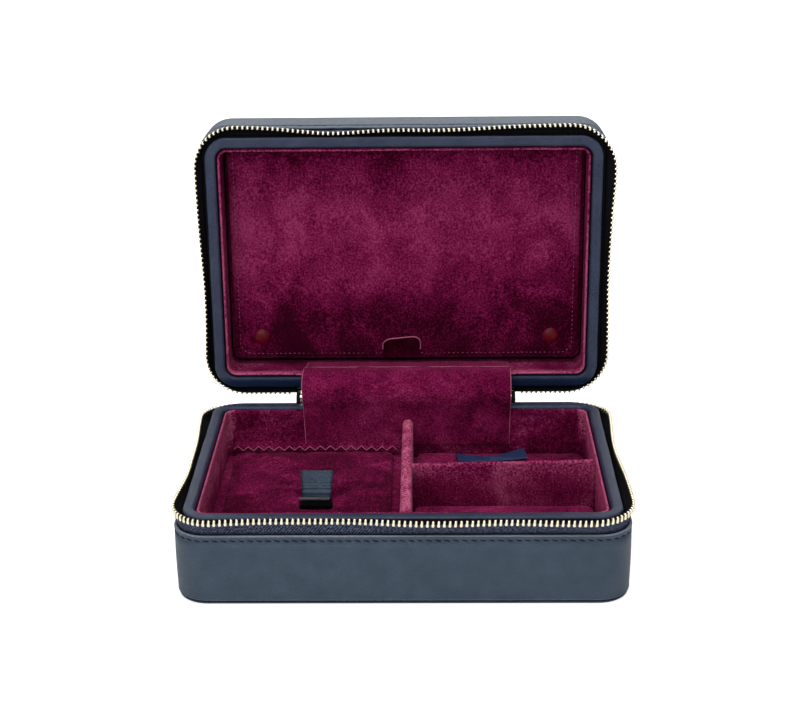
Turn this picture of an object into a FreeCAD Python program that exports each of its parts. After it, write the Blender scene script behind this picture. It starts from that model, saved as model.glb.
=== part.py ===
import FreeCAD, Part
import math
import os

from FreeCAD import Placement, Rotation, Vector

# Zipped leather jewellery case, shown open: a base with lined compartments and a lid that carries a
# buttoned flap. Millimetres, +Z up, front towards -Y, origin at the middle of the underside.

# Overall sizes
CASE_WIDTH = 216.0
CASE_DEPTH = 145.4
BASE_HEIGHT = 43.8
LID_HEIGHT = 36.5
CORNER_RADIUS = 16.0
OPEN_ANGLE = 93.0

# Layers of each half, from the outside in
LEATHER = 1.5
COLLAR_INSET = 4.4
COLLAR_WALL = 5.5
LINING = 1.0
PANEL = 2.6
PANEL_INSET = 1.0
BOARD = 2.2
GLUE = 0.1
LEAST_RADIUS = 3.0

# Distances from the parting plane, where the two halves meet
PART_GAP = 0.4
BAND_DROP = 7.7
CARCASS_DROP = 8.2
LINING_DROP = 1.2

# Softened edges
PANEL_BEVEL = 0.8
BAND_BEVEL = 0.5
COLLAR_ROUND = 1.4
COLLAR_BEVEL = 1.0
LINING_BEVEL = 0.4

# Hinge side: the fold line stands off the leather, the spine and the velvet flap bend about it
HINGE_OFFSET = 1.9
SPINE_WIDTH = 92.0
SPINE_LEATHER = 1.4
SPINE_LEAF = 20.0
HINGE_FLAP_WIDTH = 112.0
HINGE_FLAP_CLOTH = 1.0
HINGE_FLAP_LOW = 19.6
HINGE_FLAP_LID_LEAF = 17.0
LAY_GAP = 0.3
MIDDLE_X = 1.2

# Zip: tape tucked behind the leather, flared at the corners and drawn in along the sides
TAPE = 0.8
TAPE_TUCK = 6.0
ZIP_CORNER = 22.0
ZIP_FLARE = 1.0
ZIP_BOW = 2.5
ZIP_BACK_INSET = 1.2
TOOTH_PITCH = 2.6
TOOTH_DEPTH = 1.6
TOOTH_FOOT = 2.7
TOOTH_REACH = 0.45
TOOTH_STEM = 1.2
TOOTH_TIP = 0.8
CHAIN_LEAD = 3.0
STOP_LENGTH = 1.0
STOP_HEIGHT = 1.8

# Zip sliders, parked beside the spine, and their pulls
SLIDER_LENGTH = 9.0
SLIDER_PLATE = 0.9
SLIDER_CLEAR = 0.35
SLIDER_LIP = 0.6
SLIDER_CHAMFER = 0.9
SLIDER_PARK_GAP = 0.3
POST_LENGTH = 2.6
BRIDGE_WIDTH = 2.4
BRIDGE_WIRE = 1.0
BRIDGE_OPENING = 2.3
BRIDGE_SPAN = 3.0
BRIDGE_DROP = 0.9
PULL_LENGTH = 21.0
PULL_WIDTH = 7.4
PULL_TIP_WIDTH = 5.4
PULL_PLATE = 1.2
PULL_PIN = 1.0
PULL_WINDOW = 5.4

# Dividers and floors of the base
DIVIDER_DROP = 6.4
CENTRE_DIVIDER = 5.6
CROSS_DIVIDER = 3.0
CROSS_Y = 5.5
FRONT_PAD_TOP = 14.7
PAD_CROWN = 0.6
PAD_GAP = 0.5
FIT_GAP = 0.3

# Lift-up panels over the two hidden wells, with the ledges that carry them
LEFT_PANEL_TOP = 19.8
REAR_PANEL_TOP = 18.4
LIFT_PANEL = 3.1
LEFT_PANEL_SIDE_GAP = 4.4
LEFT_PANEL_FRONT_GAP = 2.2
REAR_PANEL_SIDE_GAP = 1.4
PANEL_CORNER = 5.0
PANEL_EDGE = 0.8
LEDGE_WIDTH = 7.6
STRIP_CLOTH = 0.8
STRIP_HEIGHT = 3.0
PINK_PITCH = 5.6
PINK_DEPTH = 2.2
STRIP_SIDE_GAP = 3.0

# Leather pulls of the lift-up panels
SLOT_WIDTH = 16.8
SLOT_DEPTH = 9.0
SLOT_ROUND = 1.0
LEFT_PULL_X = -44.4
LEFT_PULL_Y = -2.0
LEFT_PULL_LEATHER = 1.5
LEFT_PULL_NECK = 14.6
LEFT_PULL_END = 16.6
LEFT_PULL_REACH = 13.6
LEFT_PULL_LEAN = 38.0
BOW_X = 46.0
BOW_FROM_BACK = 11.5
BOW_LENGTH = 37.0
BOW_END = 12.5
BOW_KNOT = 4.4
BOW_LEATHER = 1.3
BOW_RISE = 6.0

# Buttoned flap in the lid
FLAP_SPACE = 8.1
FLAP_THICKNESS = 2.4
FLAP_SIDE_GAP = 1.8
FLAP_FREE_GAP = 2.6
FLAP_HINGE_GAP = 1.6
FLAP_PIVOT_GAP = 0.3
FLAP_PIVOT_RISE = 0.1
FLAP_CORNER = 8.0
FLAP_EDGE = 0.8
FLAP_STRIP_WIDTH = 8.0
STUD_X = 79.5
STUD_FROM_EDGE = 13.9
STUD_CAP_RADIUS = 4.4
STUD_CAP_HEIGHT = 1.8
STUD_CAP_BEVEL = 1.0
SOCKET_RADIUS = 4.0
SOCKET_HEIGHT = 1.2
NIPPLE_RADIUS = 1.4
NIPPLE_HEIGHT = 1.1
NIPPLE_CLEAR = 0.2
POST_DISC = 1.0
STUD_GAP = 0.4
STUD_BLOCK = 15.0
TAB_X = -2.3
TAB_WIDTH = 21.0
TAB_LENGTH = 13.0
TAB_CLOTH = 1.0
TAB_STAND = 3.6
TAB_FROM_EDGE = 1.4
TAB_ROUND = 5.0

# Necklace pegs behind the flap
PEG_COUNT = 4
PEG_STRIP_LENGTH = 140.0
PEG_STRIP_WIDTH = 9.0
PEG_STRIP_LEATHER = 1.2
PEG_STRIP_FROM_HINGE = 8.0
PEG_RADIUS = 1.2
PEG_HEAD_RADIUS = 2.4
PEG_HEIGHT = 4.6

# Sizes that follow from the ones above
HALF_WIDTH = CASE_WIDTH / 2
HALF_DEPTH = CASE_DEPTH / 2
CARCASS_INSET = LEATHER + GLUE
TAPE_INSET = LEATHER + GLUE
COLLAR_INNER = COLLAR_INSET + COLLAR_WALL
LINING_INNER = COLLAR_INNER + GLUE + LINING
ROOM_X = HALF_WIDTH - LINING_INNER
ROOM_Y = HALF_DEPTH - LINING_INNER
FLOOR_BOARD = PANEL + GLUE
FLOOR_LINING = FLOOR_BOARD + BOARD + GLUE
FLOOR_TOP = FLOOR_LINING + LINING
HINGE_Y = HALF_DEPTH + HINGE_OFFSET
HINGE = Vector(0, HINGE_Y, BASE_HEIGHT)
SPINE_NEAR = HINGE_OFFSET - GLUE - SPINE_LEATHER
FLAP_FAR = HINGE_Y - ROOM_Y + LAY_GAP + HINGE_FLAP_CLOTH
BACK_CLEAR_Y = HINGE_Y - FLAP_FAR - LAY_GAP
ZIP_BACK_Y = HALF_DEPTH - ZIP_BACK_INSET
TAPE_END_X = SPINE_WIDTH / 2 + 1.0
SLIDER_NEAR_X = TAPE_END_X + STOP_LENGTH + SLIDER_PARK_GAP
SLIDER_FAR_X = SLIDER_NEAR_X + SLIDER_LENGTH
LID_TAPE_END_X = SLIDER_FAR_X + SLIDER_PARK_GAP
CHAIN_START_X = LID_TAPE_END_X + CHAIN_LEAD
CHANNEL_HALF = TOOTH_DEPTH / 2 + SLIDER_CLEAR
CHANNEL_RISE = TOOTH_FOOT + SLIDER_CLEAR
SLIDER_RISE = CHANNEL_RISE + SLIDER_LIP
SLIDER_FACE = CHANNEL_HALF + SLIDER_PLATE
PIN_Y = ZIP_BACK_Y + SLIDER_FACE + BRIDGE_OPENING / 2
DIVIDER_TOP = BASE_HEIGHT - DIVIDER_DROP
DIVIDER_LEFT_X = MIDDLE_X - CENTRE_DIVIDER / 2
DIVIDER_RIGHT_X = MIDDLE_X + CENTRE_DIVIDER / 2
CROSS_FRONT_Y = CROSS_Y - CROSS_DIVIDER / 2
CROSS_BACK_Y = CROSS_Y + CROSS_DIVIDER / 2
STRIP_FRONT_Y = BACK_CLEAR_Y - STRIP_CLOTH
PANEL_BACK_Y = STRIP_FRONT_Y - LAY_GAP
LEFT_PANEL_FRONT_Y = -ROOM_Y + LEFT_PANEL_FRONT_GAP
FLAP_FREE_Y = ROOM_Y - FLAP_FREE_GAP
FLAP_HINGE_Y = -ROOM_Y + FLAP_HINGE_GAP
LID_BACKING = LID_HEIGHT - FLOOR_TOP
FLAP_BACK = LID_BACKING - FLAP_SPACE
FLAP_FRONT = FLAP_BACK - FLAP_THICKNESS
STUD_Y = FLAP_FREE_Y - STUD_FROM_EDGE
POST_TOP = FLAP_BACK + SOCKET_HEIGHT + STUD_GAP
TOLERANCE = 1e-4

UP = Vector(0, 0, 1)
RIGHT = Vector(1, 0, 0)


def loop(corners, radius, bows, z):
    """Closed wire round four corner circles, each side drawn in by its bow.

    The corners run anticlockwise from front left, and a side's bow is listed under its first corner.
    """
    sides = []
    for index, start in enumerate(corners):
        end = corners[(index + 1) % 4]
        along = end - start
        half = along.Length / 2
        outward = Vector(along.y, -along.x, 0).normalize()
        middle = (start + end) / 2
        bow = bows[index]
        if bow:
            reach = (half * half + bow * bow) / (2 * bow)
            centre = middle + outward * (reach - bow)
            first = start + (centre - start).normalize() * radius
            last = end + (centre - end).normalize() * radius
            edge = Part.Arc(first, centre - outward * (reach - radius), last).toShape()
        else:
            first = start + outward * radius
            last = end + outward * radius
            edge = Part.LineSegment(first, last).toShape()
        sides.append((edge, first, last, outward))
    edges = []
    for index, (edge, first, last, outward) in enumerate(sides):
        following = sides[(index + 1) % 4]
        corner = corners[(index + 1) % 4]
        bulge = corner + (outward + following[3]).normalize() * radius
        edges.append(edge)
        edges.append(Part.Arc(last, bulge, following[1]).toShape())
    wire = Part.Wire(edges)
    wire.translate(Vector(0, 0, z))
    return wire


def corner_centres(x, front, back):
    """Corner circle centres, anticlockwise from front left."""
    return [Vector(-x, -front, 0), Vector(x, -front, 0), Vector(x, back, 0), Vector(-x, back, 0)]


def outline(inset, z):
    """Rounded rectangle this far inside the leather's outer face."""
    radius = max(CORNER_RADIUS - inset, LEAST_RADIUS)
    x = HALF_WIDTH - inset - radius
    y = HALF_DEPTH - inset - radius
    return loop(corner_centres(x, y, y), radius, (0, 0, 0, 0), z)


def zip_outline(offset, z):
    """Line of the zip seen from above: full at the corners, drawn in along three sides."""
    x = HALF_WIDTH + ZIP_FLARE - ZIP_CORNER
    front = HALF_DEPTH + ZIP_FLARE - ZIP_CORNER
    back = ZIP_BACK_Y - ZIP_CORNER
    return loop(corner_centres(x, front, back), ZIP_CORNER + offset, (ZIP_BOW, ZIP_BOW, 0, ZIP_BOW), z)


def slab(inset, low, high):
    """Solid of the case's outline between two heights."""
    return Part.Face(outline(inset, low)).extrude(UP * (high - low))


def ring(outer, inner, low, high):
    """Wall between two insets of the case's outline."""
    return slab(outer, low, high).cut(slab(inner, low - 1, high + 1))


def box(x0, x1, y0, y1, z0, z1):
    """Block between two corners."""
    return Part.makeBox(x1 - x0, y1 - y0, z1 - z0, Vector(x0, y0, z0))


def level_edges(shape, z):
    """Edges that lie flat at one height."""
    return [
        edge
        for edge in shape.Edges
        if abs(edge.BoundBox.ZMin - z) < TOLERANCE and abs(edge.BoundBox.ZMax - z) < TOLERANCE
    ]


def upright_edges(shape):
    """Straight edges that stand along Z."""
    return [
        edge
        for edge in shape.Edges
        if edge.BoundBox.XLength < TOLERANCE and edge.BoundBox.YLength < TOLERANCE
    ]


def prism(points, direction):
    """Solid made by sweeping a flat outline of points along a direction."""
    return Part.Face(Part.makePolygon(list(points) + [points[0]])).extrude(direction)


def trimmed(shape, height):
    """Cut a piece back to the lined room of a half that is drawn below the parting plane."""
    return shape.common(slab(LINING_INNER + GLUE, -height, 0))


def padded_board(x0, x1, y0, y1, low, high, crown, corner):
    """Covered board with rounded corners, a soft top edge and a crown across its depth."""
    middle = (y0 + y1) / 2
    edges = [
        Part.LineSegment(Vector(x0, y0, high), Vector(x0, y0, low)).toShape(),
        Part.LineSegment(Vector(x0, y0, low), Vector(x0, y1, low)).toShape(),
        Part.LineSegment(Vector(x0, y1, low), Vector(x0, y1, high)).toShape(),
        Part.Arc(Vector(x0, y1, high), Vector(x0, middle, high + crown), Vector(x0, y0, high)).toShape(),
    ]
    block = Part.Face(Part.Wire(edges)).extrude(RIGHT * (x1 - x0))
    block = block.makeFillet(corner, upright_edges(block))
    top = max(block.Faces, key=lambda face: face.CenterOfMass.z)
    return block.makeFillet(PANEL_EDGE, top.Edges)


def to_base(shape):
    """Carry a half that is drawn below the parting plane to the base."""
    placed = shape.copy()
    placed.translate(UP * BASE_HEIGHT)
    return placed


def swung(shape):
    """Open a shape that is drawn on the shut case about the hinge line."""
    placed = shape.copy()
    placed.rotate(HINGE, RIGHT, -OPEN_ANGLE)
    return placed


def to_lid(shape):
    """Turn a half that is drawn below the parting plane over, and open it as the lid."""
    return swung(to_base(shape.mirror(Vector(0, 0, 0), UP)))


def outer_panel(height):
    """Leather-covered panel that closes a half."""
    panel = slab(PANEL_INSET, -height, -height + PANEL)
    return panel.makeChamfer(PANEL_BEVEL, level_edges(panel, -height))


def carcass(height):
    """Stiff board tray inside the leather, rebated at the top for the zip tape."""
    floor = -height + FLOOR_BOARD
    tray = slab(CARCASS_INSET, floor, -CARCASS_DROP)
    tray = tray.cut(slab(COLLAR_INSET - GLUE, floor + BOARD, 0))
    rebate = TAPE_INSET + TAPE + GLUE
    return tray.cut(ring(LEATHER, rebate, -BAND_DROP - TAPE_TUCK - GLUE, 0))


def leather_band(height):
    """Leather wrapped round the four sides, with its upper edge turned."""
    band = ring(0, LEATHER, -height + PANEL + GLUE, -BAND_DROP)
    outer = [edge for edge in level_edges(band, -BAND_DROP) if band_outer(edge)]
    return band.makeChamfer(BAND_BEVEL, outer)


def band_outer(edge):
    """True for an edge on the outer face of the leather band."""
    middle = edge.valueAt((edge.FirstParameter + edge.LastParameter) / 2)
    reach = max(abs(middle.x) - HALF_WIDTH, abs(middle.y) - HALF_DEPTH)
    corner = Vector(HALF_WIDTH - CORNER_RADIUS, HALF_DEPTH - CORNER_RADIUS, 0)
    from_corner = Vector(abs(middle.x) - corner.x, abs(middle.y) - corner.y, 0).Length
    return reach > -LEATHER / 2 or from_corner > CORNER_RADIUS - LEATHER / 2


def collar(height):
    """Leather-wrapped rim that stands above the band, rounded outside and bevelled inside."""
    top = -PART_GAP / 2
    low = -height + FLOOR_LINING
    rim = slab(COLLAR_INSET, low, top)
    rim = rim.makeFillet(COLLAR_ROUND, level_edges(rim, top))
    bevel_foot = outline(COLLAR_INNER, top - COLLAR_BEVEL)
    bevel = Part.makeLoft([bevel_foot, outline(COLLAR_INNER - COLLAR_BEVEL, top)], True, True)
    return rim.cut(slab(COLLAR_INNER, low - 1, top + 1)).cut(bevel)


def wall_lining(height):
    """Velvet on the inner face of the rim."""
    lining = ring(COLLAR_INNER + GLUE, LINING_INNER, -height + FLOOR_LINING, -LINING_DROP)
    return lining.makeChamfer(LINING_BEVEL, level_edges(lining, -LINING_DROP))


def floor_lining(height):
    """Velvet on the board floor, inside the wall lining."""
    return slab(LINING_INNER + GLUE, -height + FLOOR_LINING, -height + FLOOR_TOP)


def zip_tape(end_x):
    """Woven tape: upright behind the leather, then flared out to the teeth, open across the spine."""
    tucked = ring(TAPE_INSET, TAPE_INSET + TAPE, -BAND_DROP - TAPE_TUCK, -BAND_DROP)
    outer = Part.makeLoft([outline(TAPE_INSET, -BAND_DROP), zip_outline(TAPE / 2, -TOOTH_FOOT)], True, True)
    inner_foot = outline(TAPE_INSET + TAPE, -BAND_DROP)
    inner = Part.makeLoft([inner_foot, zip_outline(-TAPE / 2, -TOOTH_FOOT)], True, True)
    spine_gap = box(-end_x, end_x, 0, CASE_DEPTH, -LID_HEIGHT, LID_HEIGHT)
    return tucked.fuse(outer.cut(inner)).removeSplitter().cut(spine_gap)


def chain_path():
    """Open line of the zip chain, from the left of the spine round the front to its right."""
    edges = zip_outline(0, 0).Edges
    back = edges[4]
    turn_in = back.valueAt(back.FirstParameter)
    turn_out = back.valueAt(back.LastParameter)
    left = Part.LineSegment(Vector(-CHAIN_START_X, ZIP_BACK_Y, 0), turn_out).toShape()
    right = Part.LineSegment(turn_in, Vector(CHAIN_START_X, ZIP_BACK_Y, 0)).toShape()
    return Part.Wire([left] + edges[5:] + edges[:4] + [right])


def tooth():
    """One zip tooth across the tape's edge, tapered so that it enters between two of the other chain."""
    half_depth = TOOTH_DEPTH / 2
    points = [
        Vector(-TOOTH_STEM / 2, -half_depth, -TOOTH_FOOT),
        Vector(TOOTH_STEM / 2, -half_depth, -TOOTH_FOOT),
        Vector(TOOTH_TIP / 2, -half_depth, TOOTH_REACH),
        Vector(-TOOTH_TIP / 2, -half_depth, TOOTH_REACH),
    ]
    return prism(points, Vector(0, TOOTH_DEPTH, 0))


def zip_teeth(first):
    """Chain of teeth at every second step of half a pitch, so that two chains mesh when shut."""
    path = chain_path()
    steps = 2 * round(path.Length / TOOTH_PITCH)
    points = path.discretize(Number=steps + 1)
    pattern = tooth()
    teeth = []
    for index in range(first, steps, 2):
        along = points[index + 1] - points[index - 1]
        turn = Rotation(UP, math.degrees(math.atan2(along.y, along.x)))
        placed = pattern.copy()
        placed.Placement = Placement(points[index], turn)
        teeth.append(placed)
    return Part.makeCompound(teeth)


def zip_stops(end_x):
    """Pair of metal stops clamped at the ends of the tape."""
    half_depth = TOOTH_DEPTH / 2
    stops = []
    for low in (-end_x - STOP_LENGTH, end_x):
        stop = box(low, low + STOP_LENGTH, ZIP_BACK_Y - half_depth, ZIP_BACK_Y + half_depth, 0, STOP_HEIGHT)
        stop.translate(UP * -TOOTH_FOOT)
        stops.append(stop)
    return Part.makeCompound(stops)


def zip_slider(side):
    """Hollow slider: two plates with lips under the teeth, a nose post and a bridge for the pull."""
    near = side * SLIDER_NEAR_X
    far = side * SLIDER_FAR_X
    x0 = min(near, far)
    x1 = max(near, far)
    body = box(x0, x1, -SLIDER_FACE, SLIDER_FACE, -SLIDER_RISE, SLIDER_RISE)
    long_edges = [edge for edge in body.Edges if edge.BoundBox.XLength > SLIDER_LENGTH / 2]
    body = body.makeChamfer(SLIDER_CHAMFER, long_edges)
    body = body.cut(box(x0, x1, -CHANNEL_HALF, CHANNEL_HALF, -CHANNEL_RISE, CHANNEL_RISE))
    slot = TAPE / 2 + SLIDER_CLEAR
    body = body.cut(box(x0, x1, -slot, slot, -SLIDER_RISE, SLIDER_RISE))
    post_x = far - side * POST_LENGTH
    post_low = TOOTH_REACH + SLIDER_CLEAR
    post = box(min(post_x, far), max(post_x, far), -CHANNEL_HALF, CHANNEL_HALF, post_low, SLIDER_RISE)
    body = body.fuse(post)
    middle = (x0 + x1) / 2
    span = BRIDGE_SPAN / 2
    outer_y = SLIDER_FACE + BRIDGE_OPENING + BRIDGE_WIRE
    bridge = box(
        middle - BRIDGE_WIDTH / 2, middle + BRIDGE_WIDTH / 2, SLIDER_FACE - SLIDER_PLATE / 2, outer_y,
        -BRIDGE_DROP - span - BRIDGE_WIRE, -BRIDGE_DROP + span + BRIDGE_WIRE,
    )
    crown = [edge for edge in bridge.Edges if edge.BoundBox.YMin > outer_y - TOLERANCE]
    bridge = bridge.makeFillet(BRIDGE_WIRE, [edge for edge in crown if edge.BoundBox.XLength > TOLERANCE])
    hollow = box(
        middle - BRIDGE_WIDTH, middle + BRIDGE_WIDTH, SLIDER_FACE, SLIDER_FACE + BRIDGE_OPENING,
        -BRIDGE_DROP - span, -BRIDGE_DROP + span,
    )
    slider = body.fuse(bridge.cut(hollow)).removeSplitter()
    slider.translate(Vector(0, ZIP_BACK_Y, 0))
    return slider


def zip_pull(side):
    """Flat pull that hangs by a round pin from the slider's bridge, with a window under the pin."""
    middle = side * (SLIDER_NEAR_X + SLIDER_FAR_X) / 2
    top = PULL_PIN / 2 - BRIDGE_DROP
    half = PULL_WIDTH / 2
    tip = PULL_TIP_WIDTH / 2
    shoulder = top - PULL_WINDOW - 2 * PULL_PIN
    low = top - PULL_LENGTH
    front = PIN_Y - PULL_PLATE / 2
    points = [
        Vector(middle - half, front, top),
        Vector(middle + half, front, top),
        Vector(middle + half, front, shoulder),
        Vector(middle + tip, front, low),
        Vector(middle - tip, front, low),
        Vector(middle - half, front, shoulder),
    ]
    plate = prism(points, Vector(0, PULL_PLATE, 0))
    across = [edge for edge in plate.Edges if edge.BoundBox.YLength > PULL_PLATE / 2]
    plate = plate.makeFillet(tip / 2, [edge for edge in across if edge.BoundBox.ZMax < low + TOLERANCE])
    window_half = BRIDGE_WIDTH / 2 + SLIDER_CLEAR
    window_top = top - PULL_PIN
    window = box(
        middle - window_half, middle + window_half, front - 1, front + PULL_PLATE + 1,
        window_top - PULL_WINDOW, top + 1,
    )
    pin_place = Vector(middle - half, PIN_Y, -BRIDGE_DROP)
    pin = Part.makeCylinder(PULL_PIN / 2, PULL_WIDTH, pin_place, RIGHT)
    return plate.cut(window).fuse(pin).removeSplitter()


def bent_sheet(near, far, base_leaf, lid_leaf, width, middle_x):
    """Sheet that runs up the base, bends about the hinge line and runs on along the open lid."""
    turn = math.radians(180.0 - OPEN_ANGLE)
    half_turn = math.radians(180.0 - OPEN_ANGLE / 2)
    out = Vector(0, math.cos(turn), math.sin(turn))
    mid = Vector(0, math.cos(half_turn), math.sin(half_turn))
    back = Vector(0, math.sin(turn), -math.cos(turn))
    front = Vector(0, -1, 0)
    edges = [
        Part.LineSegment(front * near - UP * base_leaf, front * near).toShape(),
        Part.Arc(front * near, mid * near, out * near).toShape(),
        Part.LineSegment(out * near, out * near + back * lid_leaf).toShape(),
        Part.LineSegment(out * near + back * lid_leaf, out * far + back * lid_leaf).toShape(),
        Part.LineSegment(out * far + back * lid_leaf, out * far).toShape(),
        Part.Arc(out * far, mid * far, front * far).toShape(),
        Part.LineSegment(front * far, front * far - UP * base_leaf).toShape(),
        Part.LineSegment(front * far - UP * base_leaf, front * near - UP * base_leaf).toShape(),
    ]
    sheet = Part.Face(Part.Wire(edges)).extrude(RIGHT * width)
    sheet.translate(HINGE + RIGHT * (middle_x - width / 2))
    return sheet


def round_topped_wall(length, thickness, height):
    """Divider along X from the origin, with a fully rounded top."""
    half = thickness / 2
    shoulder = height - half
    edges = [
        Part.LineSegment(Vector(0, -half, shoulder), Vector(0, -half, 0)).toShape(),
        Part.LineSegment(Vector(0, -half, 0), Vector(0, half, 0)).toShape(),
        Part.LineSegment(Vector(0, half, 0), Vector(0, half, shoulder)).toShape(),
        Part.Arc(Vector(0, half, shoulder), Vector(0, 0, height), Vector(0, -half, shoulder)).toShape(),
    ]
    return Part.Face(Part.Wire(edges)).extrude(RIGHT * length)


def centre_divider():
    """Velvet divider from the front lining back to the hinge flap."""
    front = -ROOM_Y + GLUE
    wall = round_topped_wall(BACK_CLEAR_Y - front, CENTRE_DIVIDER, DIVIDER_TOP - FLOOR_TOP)
    wall.rotate(Vector(0, 0, 0), UP, 90)
    wall.translate(Vector(MIDDLE_X, front, FLOOR_TOP))
    return wall


def cross_divider():
    """Thin velvet divider across the right side."""
    start = DIVIDER_RIGHT_X + GLUE
    wall = round_topped_wall(ROOM_X - GLUE - start, CROSS_DIVIDER, DIVIDER_TOP - FLOOR_TOP)
    wall.translate(Vector(start, CROSS_Y, FLOOR_TOP))
    return wall


def front_right_pad():
    """Padded floor of the front right compartment."""
    return padded_board(
        DIVIDER_RIGHT_X + PAD_GAP, ROOM_X - PAD_GAP, -ROOM_Y + PAD_GAP, CROSS_FRONT_Y - PAD_GAP,
        FLOOR_TOP, FRONT_PAD_TOP, PAD_CROWN, PANEL_CORNER,
    )


def left_ledges():
    """Three bars under the left panel: along both sides and the front."""
    low = FLOOR_TOP - BASE_HEIGHT
    high = LEFT_PANEL_TOP - LIFT_PANEL - GLUE - BASE_HEIGHT
    left = -ROOM_X + FIT_GAP
    right = DIVIDER_LEFT_X - FIT_GAP
    front = -ROOM_Y + FIT_GAP
    bars = [
        box(left, left + LEDGE_WIDTH, front, PANEL_BACK_Y, low, high),
        box(right - LEDGE_WIDTH, right, front, PANEL_BACK_Y, low, high),
        box(left + LEDGE_WIDTH + GLUE, right - LEDGE_WIDTH - GLUE, front, front + LEDGE_WIDTH, low, high),
    ]
    return Part.makeCompound([trimmed(bar, BASE_HEIGHT) for bar in bars])


def rear_ledges():
    """Two bars under the ends of the rear right panel."""
    low = FLOOR_TOP - BASE_HEIGHT
    high = REAR_PANEL_TOP - LIFT_PANEL - GLUE - BASE_HEIGHT
    left = DIVIDER_RIGHT_X + FIT_GAP
    right = ROOM_X - FIT_GAP
    bars = [
        box(left, left + LEDGE_WIDTH, CROSS_BACK_Y + FIT_GAP, PANEL_BACK_Y, low, high),
        box(right - LEDGE_WIDTH, right, CROSS_BACK_Y + FIT_GAP, PANEL_BACK_Y, low, high),
    ]
    return Part.makeCompound([trimmed(bar, BASE_HEIGHT) for bar in bars])


def left_panel():
    """Lift-up panel over the left well, with the slot that its pull comes through."""
    panel = padded_board(
        -ROOM_X + LEFT_PANEL_SIDE_GAP, DIVIDER_LEFT_X - LEFT_PANEL_SIDE_GAP, LEFT_PANEL_FRONT_Y, PANEL_BACK_Y,
        LEFT_PANEL_TOP - LIFT_PANEL, LEFT_PANEL_TOP, PAD_CROWN, PANEL_CORNER,
    )
    half = SLOT_WIDTH / 2
    slot = box(LEFT_PULL_X - half, LEFT_PULL_X + half, LEFT_PULL_Y - SLOT_DEPTH, LEFT_PULL_Y, 0, BASE_HEIGHT)
    return panel.cut(slot.makeFillet(SLOT_ROUND, upright_edges(slot)))


def left_pull_tab():
    """Leather tab that rises through the slot of the left panel and leans back, wider at its end."""
    low = LEFT_PANEL_TOP - LIFT_PANEL
    bend = LEFT_PANEL_TOP + PAD_CROWN + LEFT_PULL_LEATHER
    back = LEFT_PULL_Y - GLUE
    neck = LEFT_PULL_NECK / 2
    end = LEFT_PULL_END / 2
    leg = box(-neck, neck, -LEFT_PULL_LEATHER, 0, low - bend, 0)
    points = [
        Vector(-neck, 0, 0),
        Vector(neck, 0, 0),
        Vector(end, 0, LEFT_PULL_REACH),
        Vector(-end, 0, LEFT_PULL_REACH),
    ]
    wing = prism(points, Vector(0, -LEFT_PULL_LEATHER, 0))
    wing.rotate(Vector(0, 0, 0), RIGHT, -LEFT_PULL_LEAN)
    knuckle = Part.makeCylinder(LEFT_PULL_LEATHER, LEFT_PULL_NECK, Vector(-neck, 0, 0), RIGHT)
    wedge = knuckle.common(box(-neck, neck, -2 * LEFT_PULL_LEATHER, 0, 0, 2 * LEFT_PULL_LEATHER))
    tab = leg.fuse([wedge, wing]).removeSplitter()
    tab.translate(Vector(LEFT_PULL_X, back, bend))
    return tab


def left_hinge_strip():
    """Cloth strip at the back of the left panel, its upper edge cut in a zigzag."""
    left = -ROOM_X + STRIP_SIDE_GAP
    right = DIVIDER_LEFT_X - STRIP_SIDE_GAP
    low = LEFT_PANEL_TOP + LAY_GAP
    high = low + STRIP_HEIGHT
    count = round((right - left) / PINK_PITCH)
    pitch = (right - left) / count
    points = [Vector(left, STRIP_FRONT_Y, low), Vector(right, STRIP_FRONT_Y, low)]
    for index in range(count, 0, -1):
        points.append(Vector(left + index * pitch, STRIP_FRONT_Y, high - PINK_DEPTH))
        points.append(Vector(left + (index - 0.5) * pitch, STRIP_FRONT_Y, high))
    points.append(Vector(left, STRIP_FRONT_Y, high - PINK_DEPTH))
    return prism(points, Vector(0, STRIP_CLOTH, 0))


def rear_right_panel():
    """Lift-up panel over the rear right well."""
    return padded_board(
        DIVIDER_RIGHT_X + REAR_PANEL_SIDE_GAP, ROOM_X - REAR_PANEL_SIDE_GAP,
        CROSS_BACK_Y + REAR_PANEL_SIDE_GAP, PANEL_BACK_Y,
        REAR_PANEL_TOP - LIFT_PANEL, REAR_PANEL_TOP, PAD_CROWN, PANEL_CORNER,
    )


def bow_pull():
    """Leather pull shaped like a bow: a knot held on the panel and two wings that rise."""
    knot = BOW_KNOT / 2
    end = BOW_END / 2
    reach = BOW_LENGTH / 2
    wing = prism(
        [Vector(0, -knot, 0), Vector(reach, -end, 0), Vector(reach, end, 0), Vector(0, knot, 0)],
        UP * BOW_LEATHER,
    )
    wing.rotate(Vector(0, 0, 0), Vector(0, 1, 0), -BOW_RISE)
    other = wing.mirror(Vector(0, 0, 0), RIGHT)
    seat = box(-knot, knot, -knot, knot, -BOW_LEATHER, BOW_LEATHER)
    bow = seat.fuse([wing, other]).removeSplitter()
    bow.translate(Vector(BOW_X, PANEL_BACK_Y - BOW_FROM_BACK, REAR_PANEL_TOP + PAD_CROWN + BOW_LEATHER))
    return bow


def necklace_flap():
    """Velvet flap that closes the lid's inside, rounded at its free corners."""
    half = ROOM_X - FLAP_SIDE_GAP
    flap = box(-half, half, FLAP_HINGE_Y, FLAP_FREE_Y, -FLAP_BACK, -FLAP_FRONT)
    free = [edge for edge in upright_edges(flap) if edge.BoundBox.YMin > 0]
    flap = flap.makeFillet(FLAP_CORNER, free)
    return flap.makeFillet(FLAP_EDGE, level_edges(flap, -FLAP_FRONT))


def stud_places():
    """Places of the two press studs on the flap, in the plan of the shut case."""
    return [Vector(-STUD_X, STUD_Y, 0), Vector(STUD_X, STUD_Y, 0)]


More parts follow.
